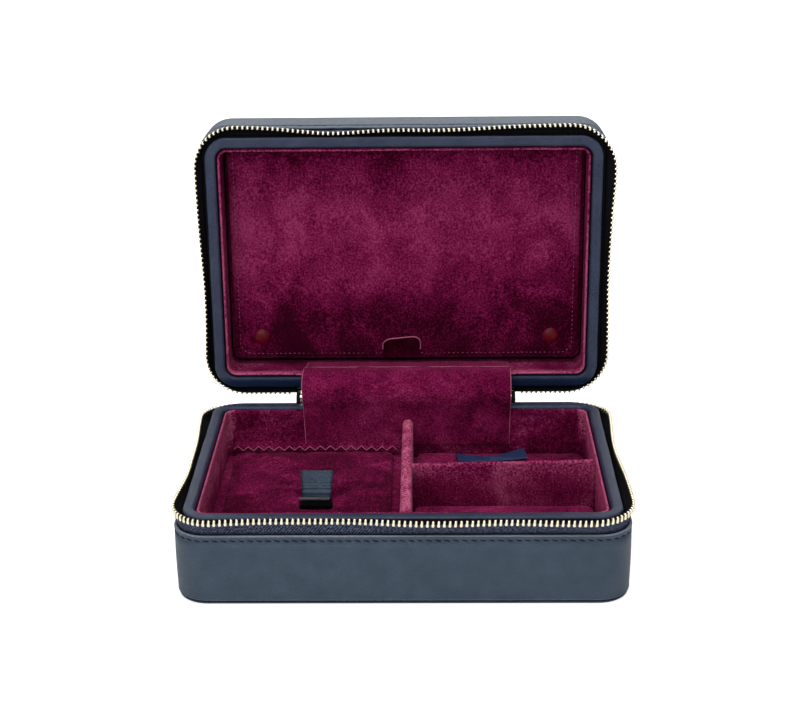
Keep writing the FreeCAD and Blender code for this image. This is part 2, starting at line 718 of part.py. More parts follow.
def disc(place, radius, low, high):
    """Round plate at a place, between two distances from the parting plane."""
    return Part.makeCylinder(radius, high - low, place - UP * high)


def stud_caps():
    """Bevelled caps of the press studs on the front of the flap."""
    caps = []
    for place in stud_places():
        cap = disc(place, STUD_CAP_RADIUS, FLAP_FRONT - STUD_CAP_HEIGHT, FLAP_FRONT)
        front = level_edges(cap, -(FLAP_FRONT - STUD_CAP_HEIGHT))
        caps.append(cap.makeChamfer(STUD_CAP_BEVEL, front))
    return Part.makeCompound(caps)


def stud_sockets():
    """Sockets of the press studs on the back of the flap."""
    sockets = []
    for place in stud_places():
        bore = NIPPLE_RADIUS + NIPPLE_CLEAR
        socket = disc(place, SOCKET_RADIUS, FLAP_BACK, FLAP_BACK + SOCKET_HEIGHT)
        sockets.append(socket.cut(disc(place, bore, FLAP_BACK, FLAP_BACK + SOCKET_HEIGHT)))
    return Part.makeCompound(sockets)


def stud_posts():
    """Posts that the sockets press on to, each a disc with a nipple."""
    posts = []
    for place in stud_places():
        post = disc(place, SOCKET_RADIUS, POST_TOP, POST_TOP + POST_DISC)
        posts.append(post.fuse(disc(place, NIPPLE_RADIUS, POST_TOP - NIPPLE_HEIGHT, POST_TOP)))
    return Part.makeCompound(posts)


def stud_blocks():
    """Velvet-covered blocks that carry the posts on the lid's backing."""
    half = STUD_BLOCK / 2
    blocks = []
    for place in stud_places():
        block = box(
            place.x - half, place.x + half, place.y - half, place.y + half,
            -LID_BACKING + GLUE, -POST_TOP - POST_DISC,
        )
        blocks.append(block.makeFillet(PANEL_EDGE, upright_edges(block)))
    return Part.makeCompound(blocks)


def flap_pull_tab():
    """Velvet tab on the front of the flap that curls away towards its rounded end."""
    root = FLAP_FREE_Y - TAB_FROM_EDGE
    end = root - TAB_LENGTH
    middle = (root + end) / 2
    near = -FLAP_FRONT
    far = near + TAB_CLOTH
    back = [Vector(0, root, near), Vector(0, middle, near + TAB_STAND / 4), Vector(0, end, near + TAB_STAND)]
    front = [point + UP * TAB_CLOTH for point in back]
    edges = [
        Part.Arc(*back).toShape(),
        Part.LineSegment(back[2], front[2]).toShape(),
        Part.Arc(*reversed(front)).toShape(),
        Part.LineSegment(front[0], back[0]).toShape(),
    ]
    tab = Part.Face(Part.Wire(edges)).extrude(RIGHT * TAB_WIDTH)
    plan = box(0, TAB_WIDTH, end, root, near, far + TAB_STAND)
    plan = plan.makeFillet(TAB_ROUND, [edge for edge in upright_edges(plan) if edge.BoundBox.YMax < middle])
    tab = tab.common(plan)
    tab.translate(RIGHT * (TAB_X - TAB_WIDTH / 2))
    return tab


def flap_hinge_strip():
    """Cloth strip on the lid's front lining that the flap hangs from."""
    half = ROOM_X - FLAP_SIDE_GAP
    near = -ROOM_Y + GLUE
    strip = box(
        -half, half, near, near + STRIP_CLOTH,
        -FLAP_FRONT - FLAP_STRIP_WIDTH / 2, -FLAP_FRONT + FLAP_STRIP_WIDTH / 2,
    )
    return trimmed(strip, LID_HEIGHT)


def peg_strip_y():
    """Middle of the peg strip in the plan of the shut case."""
    return FLAP_HINGE_Y + PEG_STRIP_FROM_HINGE + PEG_STRIP_WIDTH / 2


def peg_strip():
    """Leather strip on the lid's backing that carries the necklace pegs."""
    half = PEG_STRIP_LENGTH / 2
    across = PEG_STRIP_WIDTH / 2
    low = -LID_BACKING + GLUE
    strip = box(-half, half, peg_strip_y() - across, peg_strip_y() + across, low, low + PEG_STRIP_LEATHER)
    return strip.makeFillet(across / 2, upright_edges(strip))


def necklace_pegs():
    """Row of pegs that widen towards their ends, so that a chain stays on."""
    foot = -LID_BACKING + GLUE + PEG_STRIP_LEATHER
    peg = Part.makeCone(PEG_RADIUS, PEG_HEAD_RADIUS, PEG_HEIGHT)
    spacing = PEG_STRIP_LENGTH / PEG_COUNT
    pegs = []
    for index in range(PEG_COUNT):
        placed = peg.copy()
        placed.translate(Vector((index - (PEG_COUNT - 1) / 2) * spacing, peg_strip_y(), foot))
        pegs.append(placed)
    return Part.makeCompound(pegs)


def base_nodes():
    """Pieces that stand on the base's own body."""
    return {
        "base_bottom_panel": to_base(outer_panel(BASE_HEIGHT)),
        "base_carcass": to_base(carcass(BASE_HEIGHT)),
        "base_leather_band": to_base(leather_band(BASE_HEIGHT)),
        "base_collar": to_base(collar(BASE_HEIGHT)),
        "base_wall_lining": to_base(wall_lining(BASE_HEIGHT)),
        "base_floor_lining": to_base(floor_lining(BASE_HEIGHT)),
        "base_zip_tape": to_base(zip_tape(TAPE_END_X)),
        "base_zip_teeth": to_base(zip_teeth(1)),
        "base_zip_stops": to_base(zip_stops(TAPE_END_X)),
        "centre_divider": centre_divider(),
        "cross_divider": cross_divider(),
        "front_right_pad": front_right_pad(),
        "left_ledges": to_base(left_ledges()),
        "rear_ledges": to_base(rear_ledges()),
        "left_hinge_strip": left_hinge_strip(),
        "spine_leather": bent_sheet(
            SPINE_NEAR, SPINE_NEAR + SPINE_LEATHER, SPINE_LEAF, SPINE_LEAF, SPINE_WIDTH, 0
        ),
        "hinge_flap": bent_sheet(
            FLAP_FAR - HINGE_FLAP_CLOTH, FLAP_FAR, BASE_HEIGHT - HINGE_FLAP_LOW, HINGE_FLAP_LID_LEAF,
            HINGE_FLAP_WIDTH, MIDDLE_X,
        ),
    }


def lift_panel_nodes():
    """The two lift-up panels with their pulls."""
    return {
        "left_panel": left_panel(),
        "left_pull_tab": left_pull_tab(),
        "rear_right_panel": rear_right_panel(),
        "rear_bow_pull": bow_pull(),
    }


def slider_nodes():
    """The two zip sliders and their hanging pulls."""
    nodes = {}
    for name, side in (("left", -1), ("right", 1)):
        nodes["slider_" + name] = to_base(zip_slider(side))
        nodes["slider_pull_" + name] = to_base(zip_pull(side))
    return nodes


def lid_nodes():
    """Pieces of the lid and of its flap."""
    return {
        "lid_top_panel": to_lid(outer_panel(LID_HEIGHT)),
        "lid_carcass": to_lid(carcass(LID_HEIGHT)),
        "lid_leather_band": to_lid(leather_band(LID_HEIGHT)),
        "lid_collar": to_lid(collar(LID_HEIGHT)),
        "lid_wall_lining": to_lid(wall_lining(LID_HEIGHT)),
        "lid_back_lining": to_lid(floor_lining(LID_HEIGHT)),
        "lid_zip_tape": to_lid(zip_tape(LID_TAPE_END_X)),
        "lid_zip_teeth": to_lid(zip_teeth(2)),
        "lid_zip_stops": to_lid(zip_stops(LID_TAPE_END_X)),
        "stud_blocks": to_lid(stud_blocks()),
        "stud_posts": to_lid(stud_posts()),
        "flap_hinge_strip": to_lid(flap_hinge_strip()),
        "peg_strip": to_lid(peg_strip()),
        "necklace_pegs": to_lid(necklace_pegs()),
        "necklace_flap": to_lid(necklace_flap()),
        "stud_caps": to_lid(stud_caps()),
        "stud_sockets": to_lid(stud_sockets()),
        "flap_pull_tab": to_lid(flap_pull_tab()),
    }


def main():
    """Build every piece and write one file for each."""
    os.makedirs("parts", exist_ok=True)
    nodes = {**base_nodes(), **lift_panel_nodes(), **slider_nodes(), **lid_nodes()}
    for name, shape in nodes.items():
        shape.exportStep("parts/" + name + ".step")
        print(name, len(shape.Solids), shape.isValid(), round(shape.Volume, 1))
    flap_pivot = swung(
        Part.Vertex(
            0, FLAP_HINGE_Y - FLAP_PIVOT_GAP, BASE_HEIGHT + FLAP_FRONT - FLAP_PIVOT_RISE
        )
    )
    print("lid hinge", HINGE)
    print("flap pivot", flap_pivot.Point)
    print("left panel pivot", PANEL_BACK_Y, LEFT_PANEL_TOP)
    print("rear panel pivot", PANEL_BACK_Y, REAR_PANEL_TOP)
    print("pull pin", PIN_Y, BASE_HEIGHT - BRIDGE_DROP)


main()
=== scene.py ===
import logging
import math
from dataclasses import dataclass, replace
from enum import Enum
from typing import Sequence

import bmesh
import bpy
import numpy as np
from mathutils import Matrix, Vector


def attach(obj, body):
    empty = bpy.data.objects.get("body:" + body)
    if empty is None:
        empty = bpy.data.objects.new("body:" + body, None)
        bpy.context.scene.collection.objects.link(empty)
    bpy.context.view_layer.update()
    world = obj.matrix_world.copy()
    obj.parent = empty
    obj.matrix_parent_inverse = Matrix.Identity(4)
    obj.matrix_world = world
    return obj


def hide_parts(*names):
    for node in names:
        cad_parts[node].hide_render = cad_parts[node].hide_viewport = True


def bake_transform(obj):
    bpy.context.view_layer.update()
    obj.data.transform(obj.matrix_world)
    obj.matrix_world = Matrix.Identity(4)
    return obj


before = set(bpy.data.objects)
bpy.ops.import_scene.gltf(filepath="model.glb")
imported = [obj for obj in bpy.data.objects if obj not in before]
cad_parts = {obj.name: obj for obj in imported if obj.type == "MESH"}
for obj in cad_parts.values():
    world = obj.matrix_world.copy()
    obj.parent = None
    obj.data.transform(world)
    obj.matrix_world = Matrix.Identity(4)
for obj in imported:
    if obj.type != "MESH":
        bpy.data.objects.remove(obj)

MM = 0.001
LOG = logging.getLogger("jewellery_case")
Form = tuple[np.ndarray, list]
Colour = tuple[float, float, float]


class Half(Enum):
    """The two halves of the case, by the name of their body."""

    BASE = "base"
    LID = "lid"


class Slot(Enum):
    """Material slots of the record."""

    LEATHER = "navy_leather"
    VELVET = "velvet"
    TAPE = "tape"
    ZIP = "zip_metal"
    CAP = "stud_cap"


class Shader:
    """A material whose nodes are added one by one."""

    def __init__(self, name: str) -> None:
        """Start from a plain surface.

        Args:
            name: Name of the material.
        """
        self.material = bpy.data.materials.new(name)
        self.material.use_nodes = True
        self.tree = self.material.node_tree
        self.surface = self.tree.nodes["Principled BSDF"]

    def node(self, kind: str, inputs: dict | None = None, **settings: object) -> bpy.types.Node:
        """Add a node.

        Args:
            kind: Node type without its common prefix.
            inputs: Values or sockets for the node's inputs, by name or index.
            **settings: Attributes of the node.

        Returns:
            The new node.
        """
        made = self.tree.nodes.new("ShaderNode" + kind)
        for key, value in settings.items():
            setattr(made, key, value)
        for key, value in (inputs or {}).items():
            self.put(made, key, value)
        return made

    def put(self, node: bpy.types.Node, key: str | int, value: object) -> None:
        """Give an input a value or link a socket to it.

        Args:
            node: The node that has the input.
            key: The input's name or index.
            value: A plain value or another node's output.
        """
        if isinstance(value, bpy.types.NodeSocket):
            self.tree.links.new(value, node.inputs[key])
        else:
            node.inputs[key].default_value = value

    def finish(self, **values: object) -> None:
        """Set inputs of the surface by their names, with underscores for spaces."""
        for key, value in values.items():
            self.put(self.surface, key.replace("_", " "), value)

    def coordinates(self, which: str = "Object") -> bpy.types.NodeSocket:
        """Texture coordinates of one kind."""
        return self.node("TexCoord").outputs[which]

    def axis(self, index: int, which: str = "Object") -> bpy.types.NodeSocket:
        """One of the three texture coordinates of a kind."""
        return self.node("SeparateXYZ", {0: self.coordinates(which)}).outputs[index]

    def noise(self, scale: float, detail: float = 3.0, where: object = None, stretch: float = 0.0) -> object:
        """Soft random values from 0 to 1.

        Args:
            scale: Features for each metre.
            detail: Octaves of finer noise.
            where: Coordinates, the object's own if left out.
            stretch: Distortion of the pattern.

        Returns:
            The socket of values.
        """
        where = where or self.coordinates()
        inputs = {"Vector": where, "Scale": scale, "Detail": detail, "Distortion": stretch}
        return self.node("TexNoise", inputs).outputs[0]

    def ramp(self, value: object, low: float, high: float) -> object:
        """Stretch the values between two limits to 0 to 1, with soft ends."""
        inputs = {"Value": value, "From Min": low, "From Max": high}
        return self.node("MapRange", inputs, interpolation_type="SMOOTHSTEP").outputs[0]

    def span(self, value: object, low: float, high: float) -> object:
        """Stretch values from 0 to 1 to the range between two limits."""
        return self.node("MapRange", {"Value": value, "To Min": low, "To Max": high}).outputs[0]

    def mix(self, factor: object, first: Sequence[float], second: Sequence[float]) -> object:
        """Blend from a first colour to a second, either of which may be a socket."""
        colours = [c if isinstance(c, bpy.types.NodeSocket) else (*c, 1.0) for c in (first, second)]
        return self.node("Mix", {0: factor, 6: colours[0], 7: colours[1]}, data_type="RGBA").outputs[2]

    def sum(self, first: object, second: object, weight: float = 1.0) -> object:
        """Add second values, weighted, to the first."""
        return self.node("Math", {0: second, 1: weight, 2: first}, operation="MULTIPLY_ADD").outputs[0]

    def times(self, first: object, second: object) -> object:
        """Multiply two values."""
        return self.node("Math", {0: first, 1: second}, operation="MULTIPLY").outputs[0]

    def bump(self, height: object, distance: float, strength: float = 1.0) -> None:
        """Shade the surface as if heights from 0 to 1 stood out by a distance in metres."""
        inputs = {"Height": height, "Distance": distance, "Strength": strength}
        self.finish(Normal=self.node("Bump", inputs).outputs[0])


@dataclass(frozen=True)
class LeatherFinish:
    """Smooth leather with a fine grain and a soft shine, which can take painted shade that darkens it between
    two heights.
    """

    name: str = "navy_leather"
    dark: Colour = (0.026, 0.040, 0.063)
    light: Colour = (0.041, 0.059, 0.088)
    tint: Colour = (0.68, 0.83, 1.0)
    roughness: float = 0.46
    rough_spread: float = 0.06
    shine: float = 0.5
    grain: float = 0.0010
    creasing: float = 420.0
    clouding: float = 95.0
    relief: float = 0.00011
    painted_shade_heights: tuple[float, float] | None = None
    painted_shade_colour: Colour = (0.005, 0.012, 0.037)
    painted_shade_shine: float = 0.2

    def build(self) -> bpy.types.Material:
        """Make the material.

        Returns:
            The material.
        """
        shader = Shader(self.name)
        cells = shader.node(
            "TexVoronoi", {"Vector": shader.coordinates(), "Scale": 1 / self.grain, "Randomness": 1.0},
            feature="DISTANCE_TO_EDGE",
        ).outputs["Distance"]
        pores = shader.ramp(cells, 0.0, 0.25)
        creases = shader.noise(self.creasing, 6.0, stretch=0.6)
        tone = shader.ramp(shader.noise(self.clouding, 5.0), 0.2, 0.8)
        rough = shader.span(creases, self.roughness - self.rough_spread, self.roughness + self.rough_spread)
        colour = shader.mix(tone, self.dark, self.light)
        shine = self.shine
        # Painted shade: below the given heights the colour and the shine drop, standing in for shadow.
        if self.painted_shade_heights:
            share = shader.ramp(shader.axis(2), *self.painted_shade_heights)
            colour = shader.mix(share, self.painted_shade_colour, colour)
            shine = shader.span(share, self.shine * self.painted_shade_shine, self.shine)
        shader.finish(
            Base_Color=colour, Roughness=rough, Specular_IOR_Level=shine, Specular_Tint=(*self.tint, 1.0)
        )
        shader.bump(shader.sum(pores, creases, 0.8), self.relief)
        return shader.material


@dataclass(frozen=True)
class VelvetFinish:
    """Short crushed pile, dark where it faces the eye, with brushed patches; it can take painted light as a
    bright band between two heights and painted sheen that pales it towards one edge.
    """

    name: str = "velvet"
    deep: Colour = (0.030, 0.0006, 0.008)
    full: Colour = (0.150, 0.005, 0.046)
    bloom: Colour = (0.300, 0.036, 0.120)
    glow: Colour = (1.0, 0.22, 0.46)
    sheen: float = 0.14
    patch: float = 0.030
    stroke: float = 0.006
    pile: float = 0.0010
    speck: float = 1.2
    stretch: tuple[float, float, float] = (1.0, 1.0, 1.0)
    middle: tuple[float, float] | None = None
    painted_band_share: float = 0.4
    edge: tuple[int, float, float] | None = None
    painted_sheen_share: float = 0.6
    painted_sheen_mottle: float = 0.0013
    painted_sheen_flank: tuple[float, float] | None = None
    swirl: float = 0.9
    ground: float = 0.0
    relief: float = 0.0005

    def build(self) -> bpy.types.Material:
        """Make the material.

        Returns:
            The material.
        """
        shader = Shader(self.name)
        where = shader.node("Mapping", {"Vector": shader.coordinates(), "Scale": self.stretch}).outputs[0]
        patches = shader.noise(1 / self.patch, 3.0, where, self.swirl)
        strokes = shader.noise(1 / self.stroke, 3.0, where, self.swirl)
        tufts = shader.noise(1 / self.pile, 2.0)
        brushed = shader.sum(shader.sum(patches, strokes, 0.4), tufts, self.speck)
        # Painted light: the middle of a band between two heights is brightened, so its ends read as shade.
        if self.middle:
            low, high = self.middle
            inputs = {"Value": shader.axis(2), "From Min": low, "From Max": high}
            share = shader.node("MapRange", inputs).outputs[0]
            rise = shader.node("Math", {0: shader.times(share, math.pi)}, operation="SINE").outputs[0]
            brushed = shader.sum(brushed, rise, self.painted_band_share)
        # Painted sheen: the pile pales towards one edge in broken patches, only on the side walls when a
        # flank is given.
        if self.edge:
            axis, begin, end = self.edge
            broken = shader.ramp(shader.noise(1 / self.painted_sheen_mottle, 3.0), 0.25, 0.65)
            rise = shader.times(shader.ramp(shader.axis(axis), begin, end), broken)
            if self.painted_sheen_flank:
                out = shader.node("Math", {0: shader.axis(0)}, operation="ABSOLUTE").outputs[0]
                rise = shader.times(rise, shader.ramp(out, *self.painted_sheen_flank))
            brushed = shader.sum(brushed, rise, self.painted_sheen_share)
        low = 0.32 + 0.5 * self.speck + self.ground
        colour = shader.mix(shader.ramp(brushed, low, low + 0.5), self.deep, self.full)
        colour = shader.mix(shader.ramp(brushed, low + 0.35, low + 1.0), colour, self.bloom)
        shader.finish(
            Base_Color=colour, Roughness=0.95, Specular_IOR_Level=0.0, Sheen_Weight=self.sheen,
            Sheen_Roughness=0.5, Sheen_Tint=(*self.glow, 1.0),
        )
        shader.bump(shader.sum(strokes, tufts, 0.8), self.relief, 0.8)
        return shader.material


@dataclass(frozen=True)
class TapeFinish:
    """Twill-woven zip tape, with its ribs along the sheet's own coordinates in millimetres, and painted
    shadow that darkens it towards the band's edge.
    """

    name: str = "zip_tape"
    low: Colour = (0.003, 0.004, 0.014)
    high: Colour = (0.085, 0.104, 0.168)
    rib: float = 1.15
    slant: float = 38.0
    worn: tuple[float, float] = (0.44, 0.86)
    shade: tuple[float, float] = (-8.2, -5.6)
    relief: float = 0.00015

    def build(self) -> bpy.types.Material:
        """Make the material.

        Returns:
            The material.
        """
        shader = Shader(self.name)
        turned = shader.node(
            "Mapping", {"Vector": shader.coordinates("UV"), "Rotation": (0.0, 0.0, math.radians(self.slant))}
        ).outputs[0]
        ribs = shader.node(
            "TexWave", {"Vector": turned, "Scale": 0.314 / self.rib, "Distortion": 0.8, "Detail": 2.0},
            bands_direction="X",
        ).outputs[1]
        yarn = shader.noise(0.95, 2.0, shader.coordinates("UV"))
        height = shader.sum(yarn, ribs, 0.22)
        worn = shader.ramp(height, *self.worn)
        # Painted shadow: darker towards the band's edge.
        lit = shader.ramp(shader.axis(1, "UV"), *self.shade)
        colour = shader.mix(shader.times(worn, lit), self.low, self.high)
        shader.finish(Base_Color=colour, Roughness=0.85, Specular_IOR_Level=0.2)
        shader.bump(height, self.relief)
        return shader.material


@dataclass(frozen=True)
class MetalFinish:
    """Polished metal with light wear."""

    name: str
    colour: Colour
    roughness: float = 0.26
    metallic: float = 1.0
    gloss: float = 0.5
    dulling: float = 0.84
    relief: float = 0.000008

    def build(self) -> bpy.types.Material:
        """Make the material.

        Returns:
            The material.
        """
        shader = Shader(self.name)
        wear = shader.ramp(shader.noise(900.0, 3.0), 0.45, 0.8)
        dull = tuple(c * self.dulling for c in self.colour)
        shader.finish(
            Base_Color=shader.mix(wear, self.colour, dull), Metallic=self.metallic,
            Roughness=shader.span(wear, self.roughness, self.roughness + 0.1), Specular_IOR_Level=self.gloss,
        )
        shader.bump(shader.noise(1500.0, 2.0), self.relief)
        return shader.material


@dataclass(frozen=True)
class ClothFinish:
    """Plain fibre surface, for thread, raw edges and covered board, and for painted highlights and painted
    shade.
    """

    name: str
    dark: Colour
    light: Colour
    fibre: float = 0.0005

    def build(self) -> bpy.types.Material:
        """Make the material.

        Returns:
            The material.
        """
        shader = Shader(self.name)
        fibres = shader.noise(1 / self.fibre, 3.0)
        colour = shader.mix(shader.ramp(fibres, 0.3, 0.7), self.dark, self.light)
        shader.finish(Base_Color=colour, Roughness=0.9, Specular_IOR_Level=0.15)
        shader.bump(fibres, self.fibre * 0.4)
        return shader.material


class Finishes:
    """Every material of the case, built once."""

    def __init__(self) -> None:
        """Build the materials."""
        self.leather = LeatherFinish().build()
        rim = LeatherFinish(
            "rim_leather", (0.017, 0.023, 0.050), (0.031, 0.040, 0.074), (0.72, 0.82, 1.0), roughness=0.36,
            shine=0.4,
        )
        # The lid's rim takes painted shade: darker and duller along its lowest stretch in the open pose.
        lid_rim = replace(rim, name="lid_rim_leather", painted_shade_heights=(0.0528, 0.0570))
        self.rim = {Half.BASE: rim.build(), Half.LID: lid_rim.build()}
        self.pull = LeatherFinish(
            "pull_leather", (0.008, 0.015, 0.056), (0.016, 0.028, 0.092), roughness=0.55, shine=0.35
        ).build()
        self.tab = LeatherFinish(
            "tab_leather", (0.009, 0.017, 0.034), (0.019, 0.032, 0.058), roughness=0.42
        ).build()
        self.velvet = VelvetFinish().build()
        self.panel = VelvetFinish(
            "panel_velvet", bloom=(0.38, 0.05, 0.16), ground=0.15, patch=0.022, sheen=0.1
        ).build()
        # Painted sheen: the base's side walls pale towards their tops, and the lid's walls pale towards the
        # rim.
        wall = VelvetFinish(
            "base_wall_velvet", bloom=(0.43, 0.09, 0.19), glow=(1.0, 0.12, 0.40), speck=1.0, sheen=0.1,
            edge=(2, 0.018, 0.0405), painted_sheen_share=1.0, painted_sheen_flank=(0.091, 0.0955),
        )
        lid_wall = replace(
            wall, name="lid_wall_velvet", edge=(1, 0.0870, 0.0785), painted_sheen_share=0.7, painted_sheen_flank=None
        )
        self.wall = {Half.BASE: wall.build(), Half.LID: lid_wall.build()}
        # Painted sheen: the cross divider pales towards its top.
        self.cross = VelvetFinish(
            "cross_velvet", bloom=(0.36, 0.07, 0.16), glow=(1.0, 0.12, 0.40), speck=1.1, sheen=0.1,
            edge=(2, 0.020, 0.038), painted_sheen_share=0.45,
        ).build()
        self.pile = VelvetFinish(
            "divider_velvet", deep=(0.10, 0.004, 0.030), full=(0.29, 0.032, 0.095), bloom=(0.54, 0.16, 0.26),
            ground=-0.16, patch=0.012, pile=0.0012, speck=1.9, swirl=0.0, sheen=0.15, relief=0.0001,
        ).build()
        # Painted light and shade: the flap is brightest midway up, darker towards its top under the lid's rim
        # and towards its lower end.
        self.brushed = VelvetFinish(
            "flap_velvet", middle=(0.078, 0.187), painted_band_share=0.5, ground=0.31, speck=1.4,
            stretch=(1.0, 1.0, 0.8),
        ).build()
        self.folded = VelvetFinish("hinge_velvet", pile=0.0009).build()
        self.tape = TapeFinish().build()
        self.teeth = MetalFinish("zip_gold", (0.98, 0.90, 0.68), 0.2).build()
        self.brass = MetalFinish("stud_brass", (0.72, 0.56, 0.3), 0.32).build()
        # Darker copy of the velvet: painted shade for the tab that curls off the flap.
        self.shaded = VelvetFinish(
            "velvet_shaded", deep=(0.018, 0.0004, 0.004), full=(0.066, 0.002, 0.018),
            bloom=(0.11, 0.008, 0.036), ground=0.2, speck=0.8, sheen=0.06,
        ).build()
        self.cap = MetalFinish("stud_cap", (0.105, 0.0008, 0.008), 0.36, 0.0, 0.17).build()
        self.thread = ClothFinish("navy_thread", (0.002, 0.004, 0.010), (0.009, 0.013, 0.027)).build()
        self.velvet_thread = ClothFinish("plum_thread", (0.16, 0.02, 0.07), (0.4, 0.1, 0.2)).build()
        self.raw_edge_and_highlight = ClothFinish("raw_edge_and_highlight", (0.30, 0.05, 0.12), (0.52, 0.15, 0.25)).build()
        self.painted_edge_highlight = ClothFinish("painted_edge_highlight_leather", (0.11, 0.13, 0.17), (0.22, 0.25, 0.31)).build()
        self.raw_leather = ClothFinish("raw_leather_edge", (0.03, 0.03, 0.035), (0.11, 0.11, 0.12)).build()
        # Black board: the carcass and the tape ends, and also painted shade in grooves, gaps and shadowed
        # sides.
        self.board = ClothFinish("black_board_and_painted_shade", (0.003, 0.003, 0.005), (0.008, 0.008, 0.011)).build()


@dataclass(frozen=True)
class CasePlan:
    """Sizes that the sub-assemblies share, in millimetres, and the way from a drawing to its place."""

    width: float = 216.0
    depth: float = 145.4
    radius: float = 16.0
    base_height: float = 43.8
    lid_height: float = 36.5
    hinge_y: float = 74.6
    open_angle: float = 93.0
    band_drop: float = 7.7
    floor: float = 2.8
    hem: float = 1.9
    collar_outer: float = 4.4
    collar_inner: float = 9.9
    room_inset: float = 11.0
    zip_half: float = 109.0
    zip_front: float = -73.7
    zip_back: float = 71.5
    zip_corner: float = 22.0
    tooth_foot: float = 1.4
    panel_inset: float = 0.6
    panel: float = 0.85
    neck_inset: float = 1.9
    neck: float = 2.6

    def height(self, half: Half) -> float:
        """Height of a half from its outer face to the parting plane."""
        return self.base_height if half is Half.BASE else self.lid_height

    def place(self, points: np.ndarray, half: Half) -> np.ndarray:
        """Carry points that are drawn below the parting plane to a half at rest.

        Args:
            points: Rows of x, y, z with the parting plane at z = 0.
            half: Half that they belong to.

        Returns:
            The points in the row frame.
        """
        out = np.array(points, float)
        if half is Half.LID:
            turn = math.radians(-self.open_angle)
            y = out[:, 1] - self.hinge_y
            z = -out[:, 2]
            out[:, 1] = self.hinge_y + y * math.cos(turn) - z * math.sin(turn)
            out[:, 2] = y * math.sin(turn) + z * math.cos(turn)
        out[:, 2] += self.base_height
        return out


@dataclass(frozen=True)
class Outline:
    """Stations round a rounded rectangle, anticlockwise from the middle of its back, in millimetres."""

    place: np.ndarray
    normal: np.ndarray
    run: np.ndarray

    @classmethod
    def rounded(
        cls, low: tuple[float, float], high: tuple[float, float], radii: Sequence[float],
        counts: tuple[int, int, int],
    ) -> "Outline":
        """Lay the stations out.

        Args:
            low: Front left of the box.
            high: Back right of the box.
            radii: Corner radii: back left, front left, front right, back right.
            counts: Stations on a corner, on a side along X and on a side along Y.

        Returns:
            The outline.
        """
        corner, along_x, along_y = counts
        (x0, y0), (x1, y1) = low, high
        middle = (x0 + x1) / 2
        centres = [
            (x0 + radii[0], y1 - radii[0]), (x0 + radii[1], y0 + radii[1]),
            (x1 - radii[2], y0 + radii[2]), (x1 - radii[3], y1 - radii[3]),
        ]
        half = along_x // 2
        sides = (
            ((middle, y1), (centres[0][0], y1), (0, 1), half),
            ((x0, centres[0][1]), (x0, centres[1][1]), (-1, 0), along_y),
            ((centres[1][0], y0), (centres[2][0], y0), (0, -1), along_x),
            ((x1, centres[2][1]), (x1, centres[3][1]), (1, 0), along_y),
            ((centres[3][0], y1), (middle, y1), (0, 1), half),
        )
        places, normals = [], []
        for index, (start, end, normal, count) in enumerate(sides):
            t = np.linspace(0, 1, count, endpoint=False)[:, None]
            places.append(np.array(start) * (1 - t) + np.array(end) * t)
            normals.append(np.tile(normal, (count, 1)))
            if index < len(centres):
                angle = math.pi / 2 * (1 + index) + np.linspace(0, math.pi / 2, corner, endpoint=False)
                out = np.stack([np.cos(angle), np.sin(angle)], 1)
                places.append(np.array(centres[index]) + out * radii[index])
                normals.append(out)
        place = np.concatenate(places)
        return cls(place, np.concatenate(normals), MeshKit.lengths(place))

    def part(self, keep: np.ndarray) -> "Outline":
        """The stations that a mask keeps."""
        return Outline(self.place[keep], self.normal[keep], self.run[keep])


